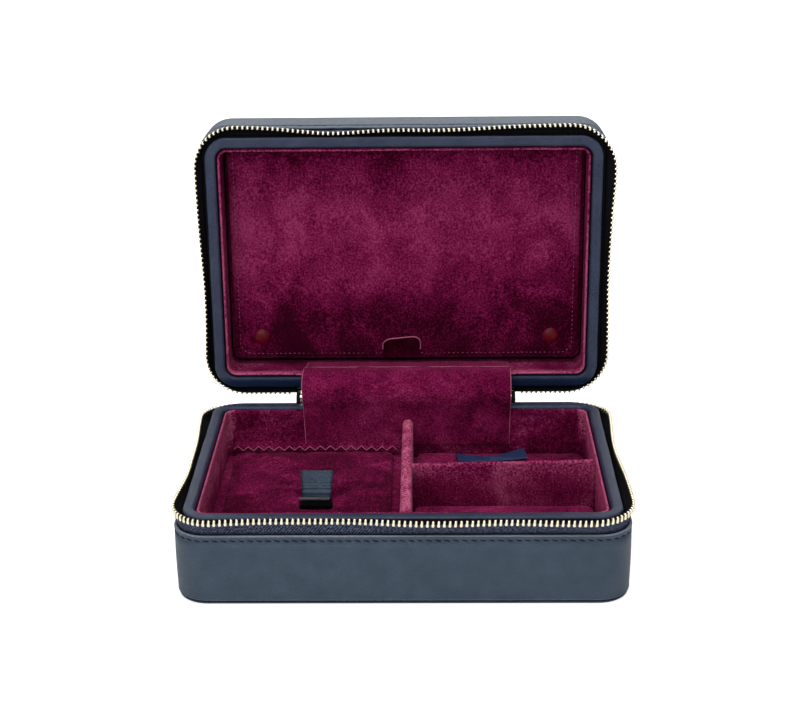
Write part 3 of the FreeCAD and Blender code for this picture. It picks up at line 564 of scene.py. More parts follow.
class MeshKit:
    """Makes pieces from arrays of points in millimetres."""

    @staticmethod
    def lengths(line: np.ndarray) -> np.ndarray:
        """Length run along a line at each of its points."""
        return np.concatenate([[0], np.cumsum(np.linalg.norm(np.diff(line, axis=0), axis=1))])

    @staticmethod
    def along(where: np.ndarray, run: np.ndarray, rows: np.ndarray) -> np.ndarray:
        """Rows of values at some lengths of a line, from the rows at its points."""
        return np.stack([np.interp(where, run, rows[:, k]) for k in range(rows.shape[1])], 1)

    @staticmethod
    def unit(rows: np.ndarray) -> np.ndarray:
        """Directions of length 1."""
        return rows / np.linalg.norm(rows, axis=1, keepdims=True)

    @staticmethod
    def grid(rows: int, cols: int, wrap: bool = False) -> list[list]:
        """Quads between rings of points that are listed ring by ring.

        Args:
            rows: Number of rings.
            cols: Number of points in a ring.
            wrap: True to join the last ring to the first.

        Returns:
            The faces.
        """
        i = np.arange(rows if wrap else rows - 1)[:, None]
        j = np.arange(cols)[None, :]
        a, b = i * cols, ((i + 1) % rows) * cols
        k = (j + 1) % cols
        return np.stack([a + j, a + k, b + k, b + j], -1).reshape(-1, 4).tolist()

    @staticmethod
    def make(
        name: str, points: np.ndarray, faces: Sequence, finish: bpy.types.Material,
        uv: np.ndarray | None = None,
    ) -> bpy.types.Object:
        """Make a smooth piece with its faces turned outwards.

        Args:
            name: Name of the piece.
            points: Rows of x, y, z in millimetres.
            faces: Lists of point numbers.
            finish: Material of the piece.
            uv: Sheet coordinates of each point, if the finish needs them.

        Returns:
            The new object.
        """
        mesh = bpy.data.meshes.new(name)
        mesh.from_pydata((np.asarray(points, float) * MM).tolist(), [], [list(f) for f in faces])
        work = bmesh.new()
        work.from_mesh(mesh)
        bmesh.ops.recalc_face_normals(work, faces=work.faces)
        work.to_mesh(mesh)
        work.free()
        if uv is not None:
            layer = mesh.uv_layers.new(name="sheet")
            corner = np.zeros(len(mesh.loops), np.int32)
            mesh.loops.foreach_get("vertex_index", corner)
            layer.data.foreach_set("uv", np.asarray(uv, np.float32)[corner].ravel())
        mesh.materials.append(finish)
        mesh.shade_smooth()
        piece = bpy.data.objects.new(name, mesh)
        bpy.context.scene.collection.objects.link(piece)
        return piece

    @staticmethod
    def repeat(points: np.ndarray, faces: Sequence, axes: np.ndarray, places: np.ndarray) -> Form:
        """Copies of a small form, each in its own axes.

        Args:
            points: Points of the form.
            faces: Its faces.
            axes: One 3 by 3 array for each copy, whose rows are its axes.
            places: Origin of each copy.

        Returns:
            Points and faces of all copies together.
        """
        spread = np.einsum("ij,njk->nik", points, axes) + places[:, None, :]
        count = len(points)
        every = [[v + n * count for v in face] for n in range(len(places)) for face in faces]
        return spread.reshape(-1, 3), every

    @staticmethod
    def stack(rings: Sequence[np.ndarray]) -> Form:
        """Closed form through rings of equal count, shut by a face at each end.

        Args:
            rings: Arrays of points, one for each ring.

        Returns:
            Points and faces.
        """
        count = len(rings[0])
        faces = MeshKit.grid(len(rings), count)
        last = (len(rings) - 1) * count
        faces.append(list(range(count)))
        faces.append(list(range(last, last + count)))
        return np.concatenate(rings), faces

    @staticmethod
    def join(parts: Sequence[Form]) -> Form:
        """Several forms as one.

        Args:
            parts: Points and faces of each form.

        Returns:
            Points and faces of all.
        """
        points, faces, count = [], [], 0
        for form, sides in parts:
            points.append(form)
            faces += [[v + count for v in side] for side in sides]
            count += len(form)
        return np.concatenate(points), faces

    @staticmethod
    def read(piece: bpy.types.Object) -> np.ndarray:
        """Points of a piece.

        Args:
            piece: The piece.

        Returns:
            Rows of x, y, z in millimetres.
        """
        flat = np.zeros(len(piece.data.vertices) * 3, np.float32)
        piece.data.vertices.foreach_get("co", flat)
        return flat.reshape(-1, 3).astype(float) / MM

    @staticmethod
    def write(piece: bpy.types.Object, points: np.ndarray) -> None:
        """Move the points of a piece to rows of x, y, z in millimetres."""
        piece.data.vertices.foreach_set("co", (points * MM).astype(np.float32).ravel())
        piece.data.update()

    @staticmethod
    def tube(line: np.ndarray, radius: float, sides: int = 6) -> Form:
        """Round thread along a line.

        Args:
            line: Points of the line.
            radius: Radius of the thread.
            sides: Points round it.

        Returns:
            Points and faces.
        """
        ahead = MeshKit.unit(np.gradient(line, axis=0))
        first = MeshKit.unit(np.cross(ahead, (0.21, 0.34, 0.92)))
        second = np.cross(ahead, first)
        rings = []
        turn = np.linspace(0, 2 * math.pi, sides, endpoint=False)[:, None]
        for point, a, b in zip(line, first, second):
            rings.append(point + radius * (np.cos(turn) * a + np.sin(turn) * b))
        return MeshKit.stack(rings)

    @staticmethod
    def strip(
        path: np.ndarray, width: np.ndarray, thickness: float, count: int, wave: float = 0.0,
        crease: np.ndarray | None = None,
    ) -> Form:
        """Sheet of even thickness that follows a side view.

        Args:
            path: Rows of y and z along the sheet.
            width: Width of the sheet at each row.
            thickness: Its thickness.
            count: Points across each face.
            wave: Height of the soft waves in it.
            crease: Distance off the path at each row.

        Returns:
            Points and faces.
        """
        crease = np.zeros(len(path)) if crease is None else crease
        slope = MeshKit.unit(np.gradient(path, axis=0))
        across = np.linspace(-0.5, 0.5, count)
        half = thickness / 2 * np.sqrt(np.clip(1.03 - np.abs(2 * across) ** 30, 0.1, 1))
        rings = []
        for (y, z), (ahead, rise), run, wide, shift in zip(path, slope, MeshKit.lengths(path), width, crease):
            x = across * wide
            off = shift + wave * np.sin(x * 0.31 + run * 0.17) * np.sin(x * 0.083 + run * 0.05 + 1.0)
            front, back = (
                np.column_stack([x, y - rise * face, z + ahead * face]) for face in (off + half, off - half)
            )
            rings.append(np.concatenate([front, back[::-1]]))
        return MeshKit.stack(rings)

    @staticmethod
    def smooth_line(turns: np.ndarray, count: int) -> np.ndarray:
        """Even points on a smooth line through the turns.

        Args:
            turns: Rows of coordinates that the line passes near.
            count: Number of points.

        Returns:
            The points.
        """
        line = turns
        for _ in range(4):
            near, far = line[:-1], line[1:]
            cut = np.stack([near * 0.75 + far * 0.25, near * 0.25 + far * 0.75], 1)
            line = np.concatenate([line[:1], cut.reshape(-1, line.shape[1]), line[-1:]])
        run = MeshKit.lengths(line)
        return MeshKit.along(np.linspace(0, run[-1], count), run, line)

    @staticmethod
    def field(flat: np.ndarray, seed: int) -> np.ndarray:
        """Smooth unevenness over a plane, from about -1 to 1.

        Args:
            flat: Rows of x and y.
            seed: Number that fixes the pattern.

        Returns:
            One value for each row.
        """
        random = np.random.default_rng(seed)
        total = np.zeros(len(flat))
        for wave in (44.0, 31.0, 23.0, 16.0, 11.0):
            angle, phase = random.uniform(0, 2 * math.pi, 2)
            total += np.sin(2 * math.pi * (flat @ (math.cos(angle), math.sin(angle))) / wave + phase)
        return total / 3

    @staticmethod
    def ripple(run: np.ndarray, waves: Sequence[float], seed: int) -> np.ndarray:
        """Smooth wavering along a line from a mix of wavelengths, from about -1 to 1."""
        phase = np.random.default_rng(seed).uniform(0, 2 * math.pi, len(waves))
        return sum(np.sin(2 * math.pi * run / w + p) for w, p in zip(waves, phase)) / len(waves)


def settle(piece: bpy.types.Object, body: str, slot: Slot, *nodes: str) -> bpy.types.Object:
    """Let a piece ride on a body in place of CAD nodes, and report it.

    Args:
        piece: The finished piece.
        body: Body that carries it.
        slot: Material slot of the record; not used.
        *nodes: CAD nodes that it stands for.

    Returns:
        The piece.
    """
    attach(piece, body)
    if nodes:
        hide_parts(*nodes)
    LOG.info("%s on %s, %d faces", piece.name, body, len(piece.data.polygons))
    return piece


def clothe(node: str, finish: bpy.types.Material) -> None:
    """Give a CAD node that stays in view its finish.

    Args:
        node: Name of the node.
        finish: Its material.
    """
    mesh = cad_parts[node].data
    mesh.materials.clear()
    mesh.materials.append(finish)
    LOG.info("%s keeps its CAD form", node)


@dataclass
class StitchRow:
    """Thread stitches of one size, laid along a line."""

    pitch: float = 4.15
    length: float = 3.2
    width: float = 0.55
    rise: float = 0.45
    slant: float = 13.0

    def form(self) -> Form:
        """One stitch along X, rounded and sunk at its ends.

        Returns:
            Points and faces.
        """
        along = np.linspace(-1, 1, 7)
        around = np.linspace(0, 2 * math.pi, 8, endpoint=False)
        rings = []
        for t in along:
            size = math.sqrt(max(1 - t ** 4, 0.02))
            y = np.cos(around) * self.width / 2 * size
            z = np.sin(around) * self.rise / 2 * size - 0.25 * self.rise * t * t
            rings.append(np.stack([np.full(8, t * self.length / 2), y, z], 1))
        return MeshKit.stack(rings)

    def lay(self, line: np.ndarray, out: np.ndarray, closed: bool) -> Form:
        """Stitches at even steps along a line of points.

        Args:
            line: Points of the line.
            out: Direction away from the surface at each point.
            closed: True if the line returns to its start.

        Returns:
            Points and faces.
        """
        path, face = (np.concatenate([rows, rows[:1]]) if closed else rows for rows in (line, out))
        run = MeshKit.lengths(path)
        count = int(run[-1] // self.pitch)
        at = (np.arange(count) + 0.5) * run[-1] / count
        z = MeshKit.unit(MeshKit.along(at, run, face))
        x = MeshKit.along(at + 0.5, run, path) - MeshKit.along(at - 0.5, run, path)
        x = MeshKit.unit(x - z * np.sum(x * z, 1, keepdims=True))
        y = np.cross(z, x)
        turn = math.radians(self.slant)
        tilted = x * math.cos(turn) - y * math.sin(turn)
        axes = np.stack([tilted, np.cross(z, tilted), z], 1)
        return MeshKit.repeat(*self.form(), axes, MeshKit.along(at, run, path))


class Side(Enum):
    """Sides of the zip line, by the direction that they face."""

    LEFT = (-1.0, 0.0)
    RIGHT = (1.0, 0.0)
    FRONT = (0.0, -1.0)


@dataclass(frozen=True)
class Sag:
    """Soft inward bend of the zip on one side; a negative depth bends it outwards."""

    side: Side
    centre: float
    reach: float
    depth: float
    power: int = 2

    def at(self, line: Outline) -> np.ndarray:
        """Bend along a line.

        Args:
            line: Stations of the line.

        Returns:
            Distance inwards at each station.
        """
        facing = np.clip(line.normal @ np.array(self.side.value), 0, 1) ** 2
        along = line.place[:, 0 if self.side is Side.FRONT else 1]
        return self.depth * facing * np.exp(-((along - self.centre) / self.reach) ** self.power)


@dataclass
class CaseHalf:
    """One half of the case: leather band with its seam, rim, velvet wall lining, zip tape and teeth."""

    plan: CasePlan
    half: Half
    finishes: Finishes
    sags: tuple[Sag, ...]
    counts: tuple[int, int, int] = (18, 140, 84)
    band_leather: float = 1.5
    stitch_drop: float = 2.6
    thread_seat: float = 0.12
    pucker: float = 0.14
    rim_top: float = -0.25
    rim_skirt: float = -9.0
    rim_bends: tuple[float, float] = (1.0, 1.3)
    rim_gather: float = 0.06
    rim_waver: float = 0.1
    foot_rise: float = 2.4
    fuzz: float = 0.2
    roll_end: float = 60.0
    tape_end: float = 47.0
    tape_rows: int = 11
    tape_hidden: float = 4.0
    tape_inset: float = 2.1
    tape_cloth: float = 0.7
    tape_puff: float = 0.22
    chain_start: float = 60.6
    first_tooth: int = 1
    pitch: float = 2.6
    back_drop: float = 2.4
    back_hood: float = 2.2
    back_turn: float = 0.7

    def __post_init__(self) -> None:
        """Lay out the case's outline and the line of the zip, which sags inwards."""
        plan = self.plan
        x, y = plan.width / 2, plan.depth / 2
        self.outline = Outline.rounded((-x, -y), (x, y), [plan.radius] * 4, self.counts)
        low, high = (-plan.zip_half, plan.zip_front), (plan.zip_half, plan.zip_back)
        line = Outline.rounded(low, high, [plan.zip_corner] * 4, self.counts)
        inwards = sum(sag.at(line) for sag in self.sags)
        self.chain = Outline(line.place - line.normal * inwards[:, None], line.normal, line.run)
        self.low = -plan.height(self.half) + plan.floor

    def name(self, piece: str) -> str:
        """Name of a piece of this half."""
        return f"{self.half.value}_{piece}"

    def add(
        self, piece: str, form: Form, finish: bpy.types.Material, slot: Slot, *nodes: str,
        uv: np.ndarray | None = None,
    ) -> bpy.types.Object:
        """Make a piece of this half from its drawing.

        Args:
            piece: Name of the piece without the half's.
            form: Points below the parting plane, and faces.
            finish: Material.
            slot: Material slot of the record.
            *nodes: CAD nodes that it stands for, without the half's name.
            uv: Sheet coordinates of each point.

        Returns:
            The piece at rest.
        """
        points, faces = form
        made = MeshKit.make(self.name(piece), self.plan.place(points, self.half), faces, finish, uv)
        return settle(made, self.half.value, slot, *(self.name(node) for node in nodes))

    def ring(
        self, piece: str, profile: Sequence, shift: np.ndarray, finish: bpy.types.Material, slot: Slot,
        node: str,
    ) -> bpy.types.Object:
        """Closed ring of one profile round the case's outline.

        Args:
            piece: Name of the piece without the half's.
            profile: Rows of distance inwards and height above the parting plane.
            shift: Extra distance inwards for each station and profile point.
            finish: Material.
            slot: Material slot of the record.
            node: CAD node that it stands for, without the half's name.

        Returns:
            The piece.
        """
        profile = np.array(profile, float)
        outline = self.outline
        inward = profile[None, :, 0] + shift
        flat = outline.place[:, None, :] - outline.normal[:, None, :] * inward[..., None]
        height = np.broadcast_to(profile[None, :, 1], inward.shape)
        points = np.concatenate([flat, height[..., None]], 2).reshape(-1, 3)
        uv = np.stack(np.meshgrid(outline.run, MeshKit.lengths(profile), indexing="ij"), 2).reshape(-1, 2)
        faces = MeshKit.grid(len(outline.run), len(profile), True)
        return self.add(piece, (points, faces), finish, slot, node, uv=uv)

    def paint(self, piece: bpy.types.Object, finish: bpy.types.Material, chosen: Sequence[bool]) -> None:
        """Give some stretches of a ring's profile a second finish.

        Args:
            piece: Ring whose faces follow the profile, station by station.
            finish: The second finish.
            chosen: True for each stretch of the profile that gets it.
        """
        piece.data.materials.append(finish)
        index = np.zeros(len(piece.data.polygons), np.int32)
        rows = len(index) // len(chosen)
        index[:rows * len(chosen)] = np.tile(np.array(chosen, np.int32), rows)
        piece.data.polygons.foreach_set("material_index", index)

    def build_panel(self) -> None:
        """Leather-covered outer panel, and the black board that shows between it and the band, black as
        painted shade in that groove.
        """
        low = -self.plan.height(self.half)
        node = "bottom_panel" if self.half is Half.BASE else "top_panel"
        lip = self.plate(self.plan.panel_inset, low, low + self.plan.panel, 0.5)
        self.add("panel", lip, self.finishes.leather, Slot.LEATHER, node)
        # Painted shade: the core is black board for the shadowed groove under the band.
        core = self.plate(self.plan.neck_inset, low + 0.3, low + self.plan.neck, 0.2)
        self.add("panel_core", core, self.finishes.board, Slot.LEATHER)

    def plate(self, inset: float, low: float, high: float, edge: float) -> Form:
        """Plate inside the case's outline.

        Args:
            inset: Distance inside the outline.
            low: Height of its underside.
            high: Height of its top.
            edge: Radius of its edges.

        Returns:
            Points and faces.
        """
        x, y = self.plan.width / 2 - inset, self.plan.depth / 2 - inset
        radii = [self.plan.radius - inset] * 4
        return SoftBoard.flat((-x, -y, low), (x, y, high), radii, edge, (14, 60, 40)).mesh()

    def build_band(self) -> None:
        """Leather band with a turned edge, puckered a little along its seam, with painted highlights along
        its hem and top edge.
        """
        top = -self.plan.band_drop
        seam = top - self.stitch_drop
        hem = -self.plan.height(self.half) + self.plan.hem
        fold = [
            (1.4, hem), (0.6, hem), (0.2, hem + 0.03), (-0.02, hem + 0.14), (-0.1, hem + 0.4),
            (-0.04, hem + 0.9),
        ]
        belly = [
            (-0.2 * math.sin(math.pi * t), hem + 1.8 + t * (seam - 2.6 - hem)) for t in np.linspace(0, 1, 9)
        ]
        edge = [
            (0.04, seam - 0.8), (0.34, seam), (0.0, seam + 0.8), (-0.14, top - 1.1), (-0.06, top - 0.5),
            (0.25, top - 0.1), (0.7, top), (1.15, top - 0.12), (self.band_leather, top - 0.6),
            (self.band_leather, seam), (self.band_leather, self.low),
        ]
        profile = fold + belly + edge
        share = np.array([min(max((z - self.low) / (top - self.low), 0), 1) ** 3 for _, z in profile])
        waver = MeshKit.ripple(self.outline.run, (71.0, 33.0, 9.7), 3)[:, None] * self.pucker * share[None, :]
        piece = self.ring("band", profile, waver, self.finishes.leather, Slot.LEATHER, "leather_band")
        # Painted highlight: the pale finish goes on the hem's turn and along the top edge.
        crest = len(fold) + len(belly) + 4
        cut = [0 < k < 4 or crest <= k < crest + 3 for k in range(len(profile))]
        self.paint(piece, self.finishes.painted_edge_highlight, cut)
        line = self.outline.place - self.outline.normal * self.thread_seat
        height = np.full((len(line), 1), seam)
        out = np.concatenate([self.outline.normal, np.zeros_like(height)], 1)
        stitches = StitchRow().lay(np.concatenate([line, height], 1), out, True)
        self.add("band_stitches", stitches, self.finishes.thread, Slot.LEATHER)

    def build_collar(self) -> None:
        """Leather-wrapped rim with rounded shoulders and small gathers at the corners; its outer wall below
        the shoulder is black, painted shade for the gap behind the teeth.
        """
        outer, inner, top = self.plan.collar_outer, self.plan.collar_inner, self.rim_top
        sharp, soft = self.rim_bends
        turn = np.radians(np.linspace(0, 90, 7))
        foot = self.low + self.foot_rise
        profile = [(outer, foot), (outer, self.rim_skirt)]
        profile += [(outer + sharp - sharp * math.cos(a), top - sharp + sharp * math.sin(a)) for a in turn]
        profile += [(inner - soft + soft * math.sin(a), top - soft + soft * math.cos(a)) for a in turn]
        profile += [(inner, self.rim_skirt), (inner, foot)]
        lift = np.array([max(0.0, 1 + z / 3.0) for _, z in profile])
        run = self.outline.run
        corner = np.abs(2 * self.outline.normal[:, 0] * self.outline.normal[:, 1])
        gather = corner * np.sin(run * 2.1) * self.rim_gather
        gather = gather + MeshKit.ripple(run, (58.0, 23.0), 5) * self.rim_waver
        shift = gather[:, None] * lift[None, :]
        piece = self.ring("rim", profile, shift, self.finishes.rim[self.half], Slot.LEATHER, "collar")
        # Painted shade: black on the outer wall below the shoulder.
        self.paint(piece, self.finishes.board, [k < 2 for k in range(len(profile))])

    def build_lining(self) -> None:
        """Velvet on the inside of the rim, with a soft fuzzy roll along its edge and a groove behind it."""
        inner, face = self.plan.collar_inner + 0.1, self.plan.room_inset
        foot = self.low + self.foot_rise
        wall = [(inner, foot), (inner, -6.0), (face - 0.3, -4.2), (face - 0.25, -2.4)]
        roll = [
            (0.1, -1.5), (0.5, -1.2), (0.85, -1.7), (1.0, -2.6), (0.95, -3.7), (0.7, -5.0), (0.35, -6.5),
            (0.1, -8.2),
        ]
        flat = [(face, z) for z in (-11.0, -16.0, -24.0, foot)]
        profile = wall + [(face + out, z) for out, z in roll] + flat
        soft = np.array([0.0] * 4 + [1.0] * 6 + [0.6, 0.3] + [0.0] * 4)
        bulge = np.array([0.0] * 4 + [out for out, _ in roll] + [0.0] * 4)
        run = self.outline.run
        turn = np.linspace(0, 2 * math.pi, len(profile))
        fuzz = MeshKit.ripple(run, (7.3, 4.1, 2.9), 61)[:, None] * np.cos(turn)[None, :]
        fuzz = fuzz + MeshKit.ripple(run, (61.0, 5.9, 3.7), 63)[:, None] * np.sin(2 * turn)[None, :]
        hinge = (self.outline.normal[:, 1] > 0.999) & (np.abs(self.outline.place[:, 0]) < self.roll_end)
        shift = self.fuzz * fuzz * soft[None, :] * ~hinge[:, None] - hinge[:, None] * bulge[None, :]
        self.ring("velvet_wall", profile, shift, self.finishes.wall[self.half], Slot.VELVET, "wall_lining")

    def behind(self, limit: float) -> np.ndarray:
        """Mask of the stations outside the spine's stretch of the back."""
        at_back = self.chain.normal[:, 1] > 0.999
        return ~(at_back & (np.abs(self.chain.place[:, 0]) < limit))

    def sunk(self, facing: np.ndarray) -> np.ndarray:
        """How far the zip sinks where it faces the back."""
        return self.back_drop * np.clip(facing, 0, 1) ** 2

    def build_tape(self) -> None:
        """Zip tape from behind the leather out to the teeth, a little wavy, its inner side black as painted
        shade.
        """
        keep = self.behind(self.tape_end)
        outline, chain = self.outline.part(keep), self.chain.part(keep)
        edge, foot = -self.plan.band_drop, -self.plan.tooth_foot
        height = np.linspace(edge - self.tape_hidden, foot, self.tape_rows)
        bend = np.clip((height - edge + 1.0) / (foot - edge + 1.0), 0, 1)
        bend = bend * bend * (3 - 2 * bend)
        hidden = outline.place - outline.normal * self.tape_inset
        waves = MeshKit.ripple(outline.run, (17.0, 7.9), 21)[:, None]
        puff = waves * self.tape_puff * (bend * (1 - bend) * 4)[None, :]
        middle = hidden[:, None, :] + (chain.place - hidden)[:, None, :] * bend[None, :, None]
        middle += chain.normal[:, None, :] * puff[..., None]
        thick = chain.normal[:, None, :] * self.tape_cloth / 2
        flat = np.concatenate([middle + thick, (middle - thick)[:, ::-1]], 1)
        height, bend = (np.concatenate([v, v[::-1]]) for v in (height, bend))
        facing = chain.normal[:, 1]
        hood = self.back_hood * np.clip(facing, 0, 1) ** 2
        rise = height[None, :] - self.sunk(facing)[:, None] * bend[None, :]
        rise = rise + hood[:, None] * (bend ** 4)[None, :]
        step = np.linalg.norm(np.diff(flat, axis=0), axis=2)
        along = np.concatenate([np.zeros((1, len(height))), np.cumsum(step, 0)])
        along -= along[len(along) // 2]
        uv = np.stack([along, np.broadcast_to(height, along.shape)], 2).reshape(-1, 2)
        form = MeshKit.stack(np.concatenate([flat, rise[..., None]], 2))
        piece = self.add("tape", form, self.finishes.tape, Slot.TAPE, "zip_tape", uv=uv)
        # Painted shade: the tape's inner side and its edge at the teeth are black.
        self.paint(piece, self.finishes.board, np.arange(len(height)) >= self.tape_rows - 1)

    @staticmethod
    def tooth(cut: float = 0.22) -> Form:
        """One tooth: legs that clasp the tape, a stem and a rounded head. X runs along the chain, Y outwards.

        Args:
            cut: Size of its bevelled corners.

        Returns:
            Points and faces.
        """
        rings = []
        for width, z, depth, lean in (
            (0.5, -2.75, 0.55, 0.0), (0.7, -2.55, 0.68, 0.0), (0.76, -2.0, 0.76, 0.0),
            (0.72, -1.5, 0.76, 0.0), (0.56, -1.05, 0.78, 0.04), (0.57, -0.6, 0.8, 0.12),
            (0.58, -0.15, 0.82, 0.16), (0.56, 0.2, 0.78, 0.17), (0.42, 0.4, 0.6, 0.17),
        ):
            corners = np.array([
                (-width + cut, -depth), (width - cut, -depth), (width, -depth + cut), (width, depth - cut),
                (width - cut, depth), (-width + cut, depth), (-width, depth - cut), (-width, -depth + cut),
            ])
            rings.append(np.column_stack([corners[:, 0] + lean, corners[:, 1], np.full(8, z)]))
        return MeshKit.stack(rings)

    def build_teeth(self) -> None:
        """Chain of teeth along the zip line."""
        keep = self.behind(self.chain_start)
        line = self.chain.place[keep]
        run = self.chain.run[keep] - self.chain.run[keep][0]
        steps = 2 * round(run[-1] / self.pitch)
        at = np.arange(self.first_tooth, steps, 2) * run[-1] / steps
        ahead = MeshKit.unit(MeshKit.along(at + 1.0, run, line) - MeshKit.along(at - 1.0, run, line))
        zero = np.zeros((len(at), 1))
        x = np.concatenate([ahead, zero], 1)
        y = np.stack([ahead[:, 1], -ahead[:, 0], zero[:, 0]], 1)
        z = np.tile((0.0, 0.0, 1.0), (len(at), 1))
        facing = y[:, 1:2]
        turned = y[:, :2] * self.back_turn * np.clip(facing, 0, 1) ** 2
        places = np.concatenate([MeshKit.along(at, run, line) + turned, -self.sunk(facing)], 1)
        form = MeshKit.repeat(*self.tooth(), np.stack([x, y, z], 1), places)
        self.add("teeth", form, self.finishes.teeth, Slot.ZIP, "zip_teeth")

    def build(self) -> None:
        """Build the half."""
        self.build_panel()
        self.build_band()
        self.build_collar()
        self.build_lining()
        self.build_tape()
        self.build_teeth()
        clothe(self.name("carcass"), self.finishes.board)
        clothe(self.name("zip_stops"), self.finishes.teeth)


@dataclass
class SoftBoard:
    """Covered board: a plate with rounded edges, drawn in a little between its corners and crowned."""

    low: tuple[float, float, float]
    high: tuple[float, float, float]
    radii: Sequence[float] = (5.0, 5.0, 5.0, 5.0)
    edge: float = 1.3
    crown: float = 0.7
    pull: float = 0.3
    lumps: float = 0.2
    counts: tuple[int, int, int] = (8, 48, 48)
    seed: int = 1

    @classmethod
    def flat(
        cls, low: tuple, high: tuple, radii: Sequence[float] = radii, edge: float = edge,
        counts: tuple[int, int, int] = counts,
    ) -> "SoftBoard":
        """A board with straight sides and a flat top."""
        return cls(low, high, radii, edge, 0.0, 0.0, 0.0, counts)

    def ring(self, inset: float, height: float) -> np.ndarray:
        """Points round the plate.

        Args:
            inset: Distance inside its edge.
            height: Height of the points.

        Returns:
            Rows of x, y, z.
        """
        (x0, y0, _), (x1, y1, _) = self.low, self.high
        radii = [max(r - inset, 0.3) for r in self.radii]
        outline = Outline.rounded((x0 + inset, y0 + inset), (x1 - inset, y1 - inset), radii, self.counts)
        span = np.array([(x1 - x0) / 2, (y1 - y0) / 2])
        share = (outline.place - [(x0 + x1) / 2, (y0 + y1) / 2]) / span
        draw = self.pull * (1 - np.clip(np.abs(share).min(1), 0, 1) ** 2)
        flat = outline.place - outline.normal * draw[:, None]
        return np.column_stack([flat, np.full(len(flat), height)])

    def mesh(self) -> Form:
        """Shape of the plate.

        Returns:
            Points and faces.
        """
        bottom, top = self.low[2], self.high[2]
        edge = min(self.edge, (top - bottom) * 0.45)
        levels = [(edge * 0.7, bottom), (edge * 0.2, bottom + edge * 0.25), (0.0, bottom + edge * 0.7)]
        for turn in np.radians(np.linspace(0, 90, 6)):
            levels.append((edge - edge * math.cos(turn), top - edge + edge * math.sin(turn)))
        half = min(self.high[0] - self.low[0], self.high[1] - self.low[1]) / 2
        for t in np.linspace(0, 0.97, max(int((half - edge) / 2.4), 2) + 1)[1:]:
            levels.append((edge + (half - edge) * t, top))
        points, faces = MeshKit.stack([self.ring(*level) for level in levels])
        centre = (np.array(self.low[:2]) + self.high[:2]) / 2
        share = np.clip((points[:, :2] - centre) / (np.array(self.high[:2]) - centre), -1, 1)
        arch = np.prod(1 - share ** 4, axis=1)
        lift = MeshKit.field(points[:, :2], self.seed) * self.lumps + self.crown * arch
        points[:, 2] += lift * (points[:, 2] > top - edge * 0.5)
        return points, faces


@dataclass(frozen=True)
class Padding:
    """Swells a padded piece by cloth simulation and applies the result."""

    voxel: float = 1.5
    pressure: float = 4.0
    steps: int = 20
    cap: float = 0.8

    def swell(self, piece: bpy.types.Object, level: float, hole: tuple | None = None) -> None:
        """Swell a piece that is still in its drawing's place.

        Args:
            piece: The padded piece.
            level: Height below which its points stay where they are.
            hole: Two corners, in plan, of a box whose points stay too.
        """
        even = piece.modifiers.new("even", "REMESH")
        even.mode = "VOXEL"
        even.voxel_size = self.voxel * MM
        self.apply(piece)
        start = MeshKit.read(piece)
        group = piece.vertex_groups.new(name="held")
        held = start[:, 2] < level
        if hole:
            held |= np.all((start[:, :2] > hole[0]) & (start[:, :2] < hole[1]), axis=1)
        group.add(np.flatnonzero(held).tolist(), 1.0, "REPLACE")
        cloth = piece.modifiers.new("swell", "CLOTH")
        cloth.settings.use_pressure = True
        cloth.settings.uniform_pressure_force = self.pressure
        cloth.settings.vertex_group_mass = "held"
        cloth.settings.effector_weights.gravity = 0.0
        cloth.point_cache.frame_end = self.steps
        scene = bpy.context.scene
        for step in range(1, self.steps + 1):
            scene.frame_set(step)
        self.apply(piece)
        scene.frame_set(1)
        move = MeshKit.read(piece) - start
        length = np.linalg.norm(move, axis=1, keepdims=True)
        MeshKit.write(piece, start + move * np.minimum(1.0, self.cap / np.maximum(length, 1e-9)))
        piece.vertex_groups.clear()
        smooth = piece.modifiers.new("smooth", "SUBSURF")
        smooth.levels = smooth.render_levels = 1
        LOG.info("%s swelled by up to %.2f mm", piece.name, min(self.cap, float(length.max())))

    @staticmethod
    def apply(piece: bpy.types.Object) -> None:
        """Turn a piece's modifiers into its mesh.

        Args:
            piece: The piece.
        """
        graph = bpy.context.evaluated_depsgraph_get()
        mesh = bpy.data.meshes.new_from_object(piece.evaluated_get(graph))
        piece.modifiers.clear()
        mesh.materials.clear()
        for finish in piece.data.materials:
            mesh.materials.append(finish)
        piece.data = mesh
        mesh.shade_smooth()


@dataclass
class Interior:
    """Common ways to make the pieces inside either half, and the size of the room there."""

    plan: CasePlan
    finishes: Finishes
    room_x: float = 97.0
    room_y: float = 61.7
    slack: float = 0.1

    def put(
        self, name: str, form: Form, finish: bpy.types.Material, half: Half, body: str, slot: Slot,
        *nodes: str,
    ) -> bpy.types.Object:
        """Make a piece from its drawing and carry it to its half.

        Args:
            name: Name of the piece.
            form: Points below the parting plane, and faces.
            finish: Material.
            half: Half that it is drawn in.
            body: Body that carries it.
            slot: Material slot of the record.
            *nodes: CAD nodes that it stands for.

        Returns:
            The piece at rest.
        """
        points, faces = form
        made = MeshKit.make(name, self.plan.place(points, half), faces, finish)
        return settle(made, body, slot, *nodes)

    def cushion(self, piece: bpy.types.Object, half: Half, body: str, node: str, fill: float) -> None:
        """Carry a padded piece that was worked on in its drawing to its half.

        Args:
            piece: The piece.
            half: Its half.
            body: Body that carries it.
            node: CAD node that it stands for.
            fill: How full it is; not used.
        """
        MeshKit.write(piece, self.plan.place(MeshKit.read(piece), half))
        if half is Half.LID:
            piece.data.flip_normals()
        settle(piece, body, Slot.VELVET, node)

    def lining(self, name: str, top: float, half: Half, node: str) -> None:
        """Velvet over the whole floor of a half.

        Args:
            name: Name of the piece.
            top: Height of its face.
            half: The half.
            node: CAD node that it stands for.
        """
        x, y = self.room_x - self.slack, self.room_y - self.slack
        form = SoftBoard.flat((-x, -y, top - 1.0), (x, y, top)).mesh()
        self.put(name, form, self.finishes.velvet, half, half.value, Slot.VELVET, node)


